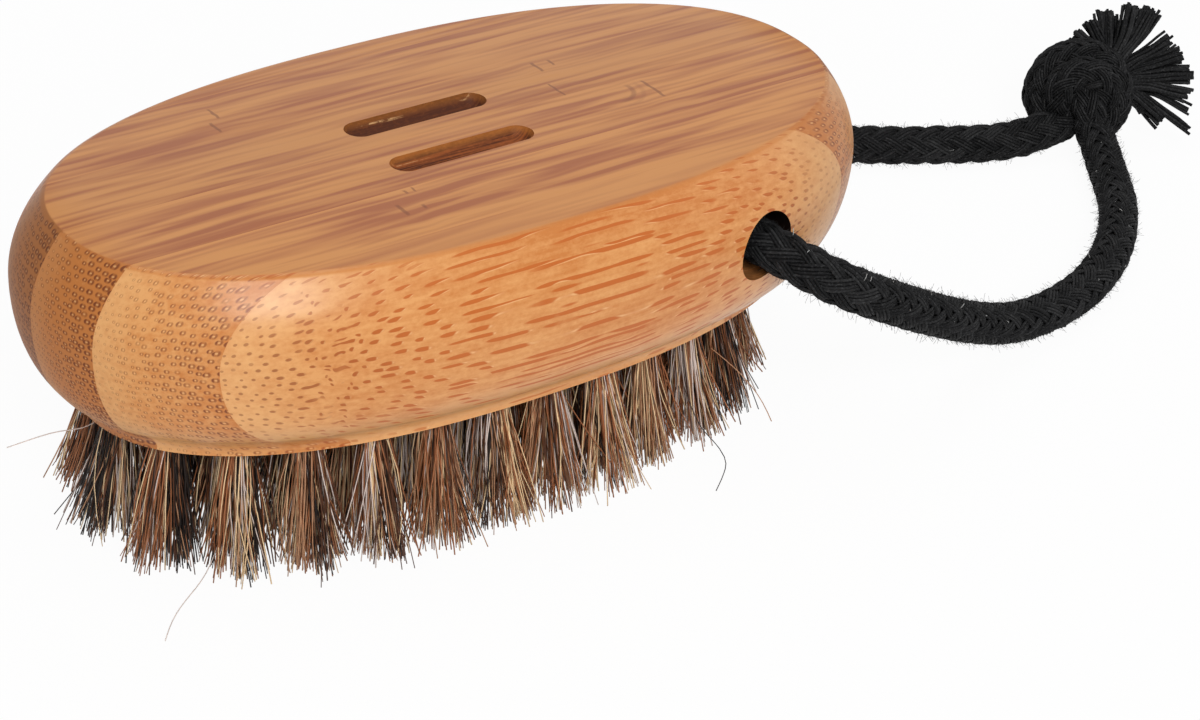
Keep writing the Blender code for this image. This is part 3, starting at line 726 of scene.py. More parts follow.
def apply_boolean(piece: Piece, tool: Piece) -> None:
    """Cut an object with a tool, and remove the tool.

    Args:
        piece: the object that is changed.
        tool: the object that cuts it.
    """
    modifier = piece.modifiers.new(tool.name, "BOOLEAN")
    modifier.object = tool
    modifier.operation = "DIFFERENCE"
    modifier.solver = "EXACT"
    make_active(piece)
    bpy.ops.object.modifier_apply(modifier=modifier.name)
    bpy.data.objects.remove(tool, do_unlink=True)


def finish_piece(piece: Piece, material: Material, body: str, slot: str, *nodes: str) -> Piece:
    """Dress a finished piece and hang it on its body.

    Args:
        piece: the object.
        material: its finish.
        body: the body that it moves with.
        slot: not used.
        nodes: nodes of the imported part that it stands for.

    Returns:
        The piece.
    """
    piece.data.materials.clear()
    piece.data.materials.append(material)
    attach(piece, body)
    if nodes:
        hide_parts(*nodes)
    piece.data.calc_loop_triangles()
    LOG.info("%s: %d triangles on %s", piece.name, len(piece.data.loop_triangles), body)
    return piece


@dataclass
class TubeBundle:
    """Many thin tubes of equal point and side counts, gathered into one mesh."""

    name: str
    sides: int
    points: list[Array] = field(default_factory=list)
    quads: list[Array] = field(default_factory=list)
    caps: list[Array] = field(default_factory=list)
    values: dict[str, list[Array]] = field(default_factory=dict)
    count: int = 0

    def add(self, rings: Array, **numbers: Array) -> None:
        """Add tubes.

        Args:
            rings: array of tube, ring, side and axis.
            numbers: for each attribute, one number a tube.
        """
        tubes, length, sides, _ = rings.shape
        index = np.arange(tubes * length * sides).reshape(tubes, length, sides) + self.count
        after = np.roll(index, -1, axis=2)
        self.caps.append(index[:, 0, ::-1].reshape(-1, sides))
        self.caps.append(index[:, -1, :].reshape(-1, sides))
        quads = np.stack((index[:, :-1], after[:, :-1], after[:, 1:], index[:, 1:]), axis=-1)
        self.quads.append(quads.reshape(-1, 4))
        self.points.append(rings.reshape(-1, 3))
        for key, each in numbers.items():
            self.values.setdefault(key, []).append(np.repeat(each, length * sides))
        self.count += tubes * length * sides

    def add_lines(self, centres: Array, radii: Array, reference: Array, **numbers: Array) -> None:
        """Add tubes round many centre lines, as tube_rings makes them."""
        reference = np.broadcast_to(reference, centres.shape)
        self.add(tube_rings(centres, radii, self.sides, reference), **numbers)

    def build(self, finish: Material, body: str, slot: str, *nodes: str) -> Piece:
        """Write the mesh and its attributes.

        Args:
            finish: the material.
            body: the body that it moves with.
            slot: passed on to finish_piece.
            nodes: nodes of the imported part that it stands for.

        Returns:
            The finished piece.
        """
        mesh = bpy.data.meshes.new(self.name)
        faces = [face for part in self.quads + self.caps for face in part.tolist()]
        mesh.from_pydata(np.concatenate(self.points).tolist(), [], faces)
        mesh.shade_smooth()
        for key, parts in self.values.items():
            attribute = mesh.attributes.new(key, "FLOAT", "POINT")
            attribute.data.foreach_set("value", np.concatenate(parts).astype(np.float32))
        piece = bpy.data.objects.new(self.name, mesh)
        bpy.context.scene.collection.objects.link(piece)
        return finish_piece(piece, finish, body, slot, *nodes)


def unit(vectors: Array) -> Array:
    """Vectors of length one along the last axis."""
    return vectors / np.maximum(np.linalg.norm(vectors, axis=-1, keepdims=True), 1e-12)


def circle(turns: Array) -> Array:
    """Directions in X and Y for angles."""
    return np.stack((np.cos(turns), np.sin(turns)), axis=-1)


def tube_rings(centres: Array, radii: Array, sides: int, reference: Array) -> Array:
    """Rings round many centre lines.

    Args:
        centres: array of tube, point and axis.
        radii: radius at each point, of a shape that fits the centres' first two axes.
        sides: corners of each ring.
        reference: directions that the lines never run along, which set where a ring starts.

    Returns:
        Array of tube, ring, side and axis.
    """
    tangents = unit(np.gradient(centres, axis=1))
    first = unit(reference - tangents * (reference * tangents).sum(axis=-1, keepdims=True))
    second = np.cross(tangents, first)
    turns = math.tau * np.arange(sides) / sides
    spokes = first[:, :, None] * np.cos(turns)[:, None] + second[:, :, None] * np.sin(turns)[:, None]
    return centres[:, :, None] + spokes * radii[..., None, None]


@dataclass
class Block:
    """The bamboo block: one fine body in place of its six lamellae."""

    plan_power_along: float = 2.38
    plan_power_across: float = 2.26
    top_edge_inset: float = 3.7 * MM
    widest_height: float = 13.3 * MM
    foot_inset: float = 5.8 * MM
    lip_height: float = 1.8 * MM
    lip_start: float = 0.4 * MM
    lip_ease: float = 1.6 * MM
    outline_points: int = 288
    upper_steps: int = 20
    lower_steps: int = 20
    rim_ease: float = 0.45 * MM
    groove_length: float = 17.6 * MM
    groove_radius: float = 1.8 * MM
    groove_depth: float = 1.5 * MM
    groove_spacing: float = 9.0 * MM
    groove_centre_x: float = -2.0 * MM
    bore_radius: float = 4.0 * MM
    bore_sides: int = 72
    hole_radius: float = 1.75 * MM
    hole_depth: float = 2.4 * MM
    hole_sides: int = 20
    overrun: float = 2.0 * MM
    slack: float = 0.1 * MM
    sharp_angle: float = 32.0

    @property
    def half_length(self) -> float:
        """Half of the block's length."""
        return (BLOCK_HIGH.x - BLOCK_LOW.x) / 2

    @property
    def half_width(self) -> float:
        """Half of the block's width."""
        return (BLOCK_HIGH.y - BLOCK_LOW.y) / 2

    def profile(self) -> list[tuple[float, float]]:
        """Heights above the underside and insets from the widest outline, from the foot up.

        Returns:
            Pairs of height and inset.
        """
        foot = self.foot_inset
        upper = TOP_Z - UNDERSIDE_Z - self.widest_height
        lower = self.widest_height - self.lip_height
        eased = self.lip_height + self.lip_ease
        eased_inset = foot * (1.0 - math.sqrt(1.0 - ((self.widest_height - eased) / lower) ** 2))
        bend = np.array(((self.lip_start, foot), (self.lip_height * 0.9, foot), (eased, eased_inset)))
        found = [(0.0, foot)]
        for share in np.linspace(0.0, 1.0, 9)[:-1]:
            found.append(tuple(np.array(((1 - share) ** 2, 2 * share * (1 - share), share ** 2)) @ bend))
        start = math.asin((self.widest_height - eased) / lower)
        for step in range(self.lower_steps, -1, -1):
            turn = start * step / self.lower_steps
            found.append((self.widest_height - lower * math.sin(turn), foot * (1.0 - math.cos(turn))))
        for step in range(1, self.upper_steps + 1):
            rise = step / self.upper_steps
            found.append((self.widest_height + upper * rise, self.top_edge_inset * rise ** 2))
        return found

    def shape_outline(self, piece: Piece) -> None:
        """Move the corners of a round face evenly onto the foot's outline.

        Args:
            piece: the round face, in edit mode.
        """
        angles = np.linspace(0.0, math.tau, 7201)
        cosines, sines = np.cos(angles), np.sin(angles)
        along = np.sign(cosines) * np.abs(cosines) ** (2 / self.plan_power_along)
        across = np.sign(sines) * np.abs(sines) ** (2 / self.plan_power_across)
        xs = along * (self.half_length - self.foot_inset)
        ys = across * (self.half_width - self.foot_inset)
        reach = np.concatenate(([0.0], np.cumsum(np.hypot(np.diff(xs), np.diff(ys)))))
        bm = bmesh.from_edit_mesh(piece.data)
        corners = sorted(bm.verts, key=lambda corner: math.atan2(corner.co.y, corner.co.x) % math.tau)
        wanted = np.linspace(0.0, reach[-1], len(corners) + 1)[:-1]
        for corner, x, y in zip(corners, np.interp(wanted, reach, xs), np.interp(wanted, reach, ys)):
            corner.co = (x, y, UNDERSIDE_Z)
        bmesh.update_edit_mesh(piece.data)

    def raise_body(self) -> Piece:
        """Extrude the foot's outline up through the profile and ease the top edge.

        Returns:
            The uncut block.
        """
        deselect_all()
        place = (0.0, 0.0, UNDERSIDE_Z)
        bpy.ops.mesh.primitive_circle_add(
            vertices=self.outline_points, radius=self.half_width, fill_type="NGON", location=place
        )
        piece = bpy.context.object
        piece.name = "bamboo_block"
        bpy.ops.object.transform_apply(location=True, rotation=True, scale=True)
        bpy.ops.object.mode_set(mode="EDIT")
        self.shape_outline(piece)
        bpy.ops.mesh.select_all(action="SELECT")
        profile = self.profile()
        for (height, inset), (next_height, next_inset) in zip(profile, profile[1:]):
            grow_x = (self.half_length - next_inset) / (self.half_length - inset)
            grow_y = (self.half_width - next_inset) / (self.half_width - inset)
            rise = (0.0, 0.0, next_height - height)
            bpy.ops.mesh.extrude_region_move(TRANSFORM_OT_translate={"value": rise})
            bpy.ops.transform.resize(value=(grow_x, grow_y, 1.0), center_override=(0.0, 0.0, 0.0))
        bpy.ops.mesh.region_to_loop()
        bpy.ops.mesh.bevel(offset=self.rim_ease, segments=5, profile=0.5)
        bpy.ops.mesh.select_all(action="SELECT")
        bpy.ops.mesh.normals_make_consistent(inside=False)
        bpy.ops.object.mode_set(mode="OBJECT")
        return piece

    def groove_tool(self, side: float) -> Piece:
        """Ball-nosed cutter at one grip groove: a sphere drawn out along X.

        Args:
            side: -1 for the near groove and 1 for the far one.

        Returns:
            The cutter.
        """
        centre = Vector((self.groove_centre_x, side * self.groove_spacing / 2, TOP_Z + self.groove_radius))
        centre.z -= self.groove_depth
        turn = (0.0, math.pi / 2, 0.0)
        deselect_all()
        bpy.ops.mesh.primitive_uv_sphere_add(
            segments=64, ring_count=32, radius=self.groove_radius, location=centre, rotation=turn
        )
        tool = bpy.context.object
        bpy.ops.object.transform_apply(location=True, rotation=True, scale=True)
        half_run = self.groove_length / 2 - self.groove_radius
        for corner in tool.data.vertices:
            if abs(corner.co.x - centre.x) > 1e-6:
                corner.co.x += math.copysign(half_run, corner.co.x - centre.x)
        return tool

    def rod_tool(self, place: Vector, radius: float, depth: float, sides: int, flat: bool) -> Piece:
        """Round cutter, standing or lying across the block.

        Args:
            place: its middle.
            radius: its radius.
            depth: its length.
            sides: how many sides it has.
            flat: whether it lies along Y.

        Returns:
            The cutter.
        """
        deselect_all()
        turn = (math.pi / 2, 0.0, 0.0) if flat else (0.0, 0.0, 0.0)
        bpy.ops.mesh.primitive_cylinder_add(
            vertices=sides, radius=radius, depth=depth, location=place, rotation=turn
        )
        bpy.ops.object.transform_apply(location=True, rotation=True, scale=True)
        return bpy.context.object

    def hole_tool(self, places: Array) -> Piece:
        """One tool for all the tuft holes.

        Args:
            places: middles of the holes, in X and Y.

        Returns:
            The cutter.
        """
        tools = []
        for x, y in places:
            place = Vector((x, y, UNDERSIDE_Z + self.hole_depth / 2 - self.overrun / 2))
            depth = self.hole_depth + self.overrun
            tools.append(self.rod_tool(place, self.hole_radius, depth, self.hole_sides, False))
        deselect_all()
        for tool in tools:
            tool.select_set(True)
        bpy.context.view_layer.objects.active = tools[0]
        bpy.ops.object.join()
        return tools[0]

    def mark_routed(self, piece: Piece, tufts: Array) -> None:
        """Give the faces inside the grooves, the bore and the tuft holes the number 1.

        Args:
            piece: the cut block.
            tufts: places of all the tuft holes.
        """
        count = len(piece.data.vertices)
        places = np.zeros(count * 3, np.float32)
        piece.data.vertices.foreach_get("co", places)
        x, y, z = places.reshape(-1, 3).T
        off_bore = np.hypot(x - BORE.x, z - BORE.z)
        slack = self.slack
        in_bore = np.abs(off_bore - self.bore_radius) < slack / 2
        in_groove = (z < TOP_Z + slack / 10) & (z > TOP_Z - self.groove_depth - 5 * slack)
        in_groove &= np.abs(x - self.groove_centre_x) < self.groove_length / 2 + 3 * slack
        in_groove &= np.abs(np.abs(y) - self.groove_spacing / 2) < self.groove_radius + slack
        in_hole = (z > UNDERSIDE_Z + 5 * slack) & (z < UNDERSIDE_Z + self.hole_depth + slack)
        from_tufts = np.hypot(x[:, None] - tufts[:, 0], y[:, None] - tufts[:, 1]).min(axis=1)
        in_hole &= from_tufts < self.hole_radius + slack
        cut = in_bore | in_groove | in_hole
        below = z < TOP_Z - slack / 10
        corners = [list(face.vertices) for face in piece.data.polygons]
        routed = [float(cut[corner].all() and below[corner].any()) for corner in corners]
        attribute = piece.data.attributes.new("routed", "FLOAT", "FACE")
        attribute.data.foreach_set("value", routed)

    def build(self, finish: Material, tufts: Array) -> Piece:
        """Make the block.

        Args:
            finish: its material.
            tufts: places of all the tuft holes.

        Returns:
            The finished piece.
        """
        piece = self.raise_body()
        for side in (-1.0, 1.0):
            apply_boolean(piece, self.groove_tool(side))
        width = 2 * (self.half_width + self.overrun)
        apply_boolean(piece, self.rod_tool(BORE, self.bore_radius, width, self.bore_sides, True))
        apply_boolean(piece, self.hole_tool(tufts))
        self.mark_routed(piece, tufts)
        make_active(piece)
        bpy.ops.object.shade_smooth_by_angle(angle=math.radians(self.sharp_angle))
        return finish_piece(piece, finish, BRUSH_BODY, "bamboo", *LAMELLAE)


@dataclass(frozen=True)
class TuftRow:
    """One ring or row of tufts: its node, how far its tips lean out, and how finely its hairs are bent."""

    node: str
    piece: str
    lean: float
    hairs: int
    steps: int


@dataclass
class BristleField:
    """All the hair: locks of strands in each drilled hole, splayed towards cut tips.

    Strays are long single hairs, each a number for its colour and a route in millimetres.
    """

    rows: tuple[TuftRow, ...] = (
        TuftRow("outer_tuft_ring", "outer_bristles", 3.0 * MM, 236, 5),
        TuftRow("middle_tuft_ring", "middle_bristles", 1.8 * MM, 270, 5),
        TuftRow("inner_tuft_ring", "inner_bristles", 0.7 * MM, 270, 4),
        TuftRow("centre_tuft_row", "centre_bristles", 0.0, 260, 4),
    )
    plug_rim: float = 1.0 * MM
    plug_gap: float = 2.1 * MM
    outline_power: float = 1.3
    root_radius: float = 1.6 * MM
    root_depth: float = 2.0 * MM
    root_fill: float = 0.60
    root_follow: float = 0.38
    tip_radius: float = 3.2 * MM
    locks: int = 7
    lock_radius: float = 0.85 * MM
    hair_radius: float = 0.095 * MM
    taper: float = 0.25
    splay_power: float = 1.2
    unevenness: float = 1.7 * MM
    bow: float = 0.55 * MM
    wild_share: float = 0.06
    wild_spread: float = 2.3
    wild_rise: float = 2.5 * MM
    alike_share: float = 0.50
    alike_spread: float = 0.05
    pale_places: Values = (-0.040, -0.028, -0.015, 0.020)
    pale_powers: Values = (1.42, 0.86, 0.66, 0.94)
    sides: int = 3
    seed: int = 7
    stray_radius: float = 0.065 * MM
    stray_step: float = 1.2 * MM
    stray_floor: float = 0.1 * MM
    strays: tuple[tuple[float, tuple[Triple, ...]], ...] = (
        (0.95, ((-40.5, 1.4, 14.5), (-43.4, 1.0, 12.3), (-47.0, 1.0, 12.6), (-50.4, 1.0, 12.7),
                (-53.0, 1.0, 12.6))),
        (0.30, ((-42.0, -4.0, 14.5), (-45.0, -6.0, 11.5), (-46.5, -7.0, 8.0), (-47.2, -8.5, 4.5))),
        (0.10, ((17.4, -20.5, 9.0), (18.9, -22.0, 4.3), (20.8, -22.0, 1.8), (21.6, -23.0, 0.4),
                (19.6, -26.0, 0.3), (16.4, -28.6, 0.3))),
        (0.93, ((-35.0, -12.0, 5.0), (-38.8, -14.0, 0.6), (-41.6, -15.9, 0.3), (-44.7, -18.3, 0.3),
                (-47.5, -21.4, 0.3))),
        (0.72, ((25.0, -15.5, 9.0), (28.5, -18.0, 5.0), (30.0, -19.8, 2.0), (30.2, -21.0, 0.6))),
    )

    def places(self, node: str) -> Array:
        """Middles of a node's tufts, from the rims of the plugs at their roots.

        Args:
            node: name of the node.

        Returns:
            Array of place and axis, in X and Y.
        """
        corners = np.array([corner.co for corner in frame["nodes"][node].data.vertices])
        rims = corners[corners[:, 2] > corners[:, 2].max() - self.plug_rim][:, :2]
        found = []
        while len(rims):
            near = np.zeros(len(rims), bool)
            near[0] = True
            reached = 0
            while near.sum() > reached:
                reached = near.sum()
                near = np.linalg.norm(rims[:, None] - rims[None, near], axis=2).min(axis=1) < self.plug_gap
            group = rims[near]
            found.append((group.min(axis=0) + group.max(axis=0)) / 2)
            rims = rims[~near]
        return np.array(found)

    def all_places(self) -> Array:
        """Middles of every tuft."""
        return np.concatenate([self.places(row.node) for row in self.rows])

    def outward(self, places: Array) -> Array:
        """Directions square to the outline of a ring of tufts.

        Args:
            places: middles of the ring's tufts.

        Returns:
            One direction a tuft, in X and Y.
        """
        low, high = places.min(axis=0), places.max(axis=0)
        half = np.maximum((high - low) / 2, 1.0 * MM)
        share = (places - (low + high) / 2) / half
        return unit(np.sign(share) * np.abs(share) ** self.outline_power / half)

    def tips(self, places: Array, lean: float, lock: Array, random: Draws) -> Array:
        """Where each lock's tip stands, in X and Y, from the middle of its tuft.

        Args:
            places: middles of the tufts.
            lean: how far the tips lean out.
            lock: each hair's lock.
            random: the random draws.

        Returns:
            Array of hair and axis.
        """
        total = len(places) * self.locks
        turn = random.uniform(0.0, math.tau, len(places)).repeat(self.locks)
        turn += math.tau * (np.arange(total) + random.uniform(-0.3, 0.3, total)) / self.locks
        reach = self.tip_radius * np.sqrt(random.uniform(0.12, 1.0, total))
        tip = circle(turn) * reach[:, None]
        tip += (self.outward(places) * lean).repeat(self.locks, axis=0)
        return tip[lock]

    def kinds(self, xs: Array, lock: Array, locks: int, random: Draws) -> Array:
        """Each hair's kind, from 0 to 1: half of a lock's hairs are alike, and some places are paler.

        Args:
            xs: place of each hair's tuft along the brush.
            lock: each hair's lock.
            locks: how many locks there are.
            random: the random draws.

        Returns:
            One number a hair.
        """
        count = len(xs)
        favourite = random.uniform(0.0, 1.0, locks)
        kind = random.uniform(0.0, 1.0, count)
        alike = random.uniform(0.0, 1.0, count) < self.alike_share
        kind[alike] = (favourite[lock] + random.normal(0.0, self.alike_spread, count))[alike]
        return np.clip(kind, 0.0, 0.999) ** np.interp(xs, self.pale_places, self.pale_powers)

    def build_row(self, row: TuftRow, finish: Material) -> None:
        """Make the hair of one ring or row.

        Args:
            row: which ring, and how its hair is cut.
            finish: the material.
        """
        random = np.random.default_rng(self.seed + len(row.piece))
        places = self.places(row.node)
        count = len(places) * row.hairs
        tuft = np.repeat(np.arange(len(places)), row.hairs)
        lock = tuft * self.locks + random.integers(0, self.locks, count)
        tip = self.tips(places, row.lean, lock, random)
        spoke = circle(random.uniform(0.0, math.tau, count))
        root_reach = self.root_radius * np.sqrt(random.uniform(0.0, 1.0, count)) * self.root_fill
        root = spoke * root_reach[:, None] + tip / self.tip_radius * self.root_radius * self.root_follow
        wander = random.normal(0.0, 1.0, (count, 2)) * self.lock_radius
        wild = random.uniform(0.0, 1.0, count) < self.wild_share
        wander[wild] *= self.wild_spread
        top = np.full(count, UNDERSIDE_Z + self.root_depth)
        low = self.unevenness * random.uniform(0.0, 1.0, count) ** 1.5
        low[wild] += random.uniform(0.0, self.wild_rise, wild.sum())
        share = np.linspace(0.0, 1.0, row.steps + 1)
        bow = circle(random.uniform(0.0, math.tau, count)) * random.normal(0.0, self.bow, count)[:, None]
        splay = (tip + wander - root)[:, None] * (share ** self.splay_power)[:, None]
        across = places[tuft][:, None] + root[:, None] + splay
        across = across + bow[:, None] * np.sin(math.pi * share)[:, None]
        height = top[:, None] + (low - top)[:, None] * share
        centres = np.concatenate((across, height[..., None]), axis=2)
        thickness = self.hair_radius * random.uniform(0.7, 1.25, count)
        radii = thickness[:, None] * (1.0 - self.taper * share)
        kind = self.kinds(places[tuft, 0], lock, len(places) * self.locks, random)
        bundle = TubeBundle(row.piece, self.sides)
        bundle.add_lines(centres, radii, np.array([1.0, 0.2, 0.0]), kind=kind)
        if row is self.rows[0]:
            self.add_strays(bundle)
        bundle.build(finish, BRUSH_BODY, "horsehair", row.node)

    def add_strays(self, bundle: TubeBundle) -> None:
        """Long single hairs that stand off the brush.

        Args:
            bundle: the mesh in the making.
        """
        for kind, route in self.strays:
            points = smooth_route(np.array(route) * MM, self.stray_step)[None]
            points[..., 2] = np.maximum(points[..., 2], self.stray_floor)
            radii = np.full(points.shape[:2], self.stray_radius)
            bundle.add_lines(points, radii, np.array([0.2, 0.3, 1.0]), kind=np.array([kind]))

    def build(self, finish: Material) -> None:
        """Make every ring and row."""
        for row in self.rows:
            self.build_row(row, finish)


@dataclass
class Line:
    """A line through space with a steady frame along it."""

    points: Array

    def __post_init__(self) -> None:
        """Work out the tangents, the two side directions and the reach at each point."""
        self.tangents = unit(np.gradient(self.points, axis=0))
        side = np.cross(self.tangents[0], (0.0, 0.0, 1.0))
        if np.linalg.norm(side) < 0.1:
            side = np.cross(self.tangents[0], (1.0, 0.0, 0.0))
        sides = [unit(side)]
        for tangent in self.tangents[1:]:
            side = sides[-1] - tangent * (sides[-1] @ tangent)
            sides.append(unit(side))
        self.sides = np.array(sides)
        steps = np.linalg.norm(np.diff(self.points, axis=0), axis=1)
        self.reach = np.concatenate(([0.0], np.cumsum(steps)))
        self.length = self.reach[-1]
        self.ups = np.cross(self.tangents, self.sides)

    def spokes(self, turns: Array) -> Array:
        """Directions square to the line, from an angle for each of its points."""
        return self.sides * np.cos(turns)[:, None] + self.ups * np.sin(turns)[:, None]

    def rings(self, radii: Array, sides: int) -> Array:
        """One tube round the line, as an array of tube, ring, side and axis.

        Args:
            radii: radius at each point, or one for all.
            sides: corners of each ring.

        Returns:
            The rings.
        """
        turns = math.tau * np.arange(sides) / sides
        spokes = self.sides[:, None] * np.cos(turns)[:, None] + self.ups[:, None] * np.sin(turns)[:, None]
        return (self.points[:, None] + spokes * np.reshape(radii, (-1, 1, 1)))[None]


def route_bends(route: Array, spans: Array) -> Array:
    """Second derivatives at a route's points, for the natural cubic spline through them.

    Args:
        route: the points.
        spans: distance from each point to the next.

    Returns:
        One row a point.
    """
    count = len(route)
    balance = np.eye(count)
    pull = np.zeros((count, 3))
    for index in range(1, count - 1):
        before, after = spans[index - 1], spans[index]
        balance[index, index - 1:index + 2] = before, 2 * (before + after), after
        rise = (route[index + 1] - route[index]) / after - (route[index] - route[index - 1]) / before
        pull[index] = 6 * rise
    return np.linalg.solve(balance, pull)


def smooth_route(route: "tuple | Array", step: float) -> Array:
    """Points at even steps along the natural cubic spline through a route's points.

    Args:
        route: the points chosen for the cord.
        step: distance between the points handed back.

    Returns:
        Array of point and axis.
    """
    route = np.array(route)
    spans = np.linalg.norm(np.diff(route, axis=0), axis=1)
    bends = route_bends(route, spans)
    dense = [route[:1]]
    share = np.linspace(0.0, 1.0, SPLINE_PIECES + 1)[1:, None]
    for index, span in enumerate(spans):
        start = route[index] / span - bends[index] * span / 6
        end = route[index + 1] / span - bends[index + 1] * span / 6
        done, left = span * share, span * (1.0 - share)
        curl = (bends[index] * left ** 3 + bends[index + 1] * done ** 3) / (6 * span)
        dense.append(curl + start * left + end * done)
    dense = np.concatenate(dense)
    reach = np.concatenate(([0.0], np.cumsum(np.linalg.norm(np.diff(dense, axis=0), axis=1))))
    wanted = np.linspace(0.0, reach[-1], max(2, round(reach[-1] / step)) + 1)
    return np.stack([np.interp(wanted, reach, dense[:, axis]) for axis in range(3)], axis=1)


@dataclass
class Braid:
    """Round braid: eight carriers each way, over two and under two, of four yarns side by side."""

    radius: float = 2.5 * MM
    pitch: float = 24.0 * MM
    carriers: int = 8
    yarns: int = 4
    yarn_radius: float = 0.185 * MM
    weave_depth: float = 0.26 * MM
    weave_power: float = 0.7
    carrier_fill: float = 0.96
    crown: float = 0.05 * MM
    ripple: float = 0.02 * MM
    yarn_sides: int = 5
    seed: int = 3

    def add_to(self, bundle: TubeBundle, line: Line) -> None:
        """Lay the braid along a line.

        Args:
            bundle: the mesh in the making.
            line: the middle of the cord.
        """
        turns = line.reach / self.pitch
        middle = self.radius - self.yarn_radius - self.weave_depth
        random = np.random.default_rng(self.seed)
        centres, outs = [], []
        for way in (1.0, -1.0):
            for carrier in range(self.carriers):
                phase = 2 * carrier + way * 2 * self.carriers * turns - 0.5
                wave = way * np.cos(0.5 * math.pi * phase)
                wave = np.sign(wave) * np.abs(wave) ** self.weave_power
                for yarn in range(self.yarns):
                    offset = (yarn + 0.5) / self.yarns - 0.5
                    angle = math.tau * ((carrier + offset * self.carrier_fill) / self.carriers + way * turns)
                    crown = self.crown * (1.0 - (2 * offset) ** 2)
                    reach = middle + self.weave_depth * wave + crown + random.normal(0.0, self.ripple)
                    out = line.spokes(angle)
                    centres.append(line.points + out * reach[:, None])
                    outs.append(out)
        centres = np.array(centres)
        radii = np.full((len(centres), 1), self.yarn_radius)
        rings = tube_rings(centres, radii, self.yarn_sides, np.array(outs))
        bundle.add(rings, strand=random.uniform(0.0, 1.0, len(centres)), lint=np.zeros(len(centres)))
        core = line.rings(middle - self.weave_depth, bundle.sides)
        bundle.add(core, strand=np.zeros(1), lint=np.zeros(1))


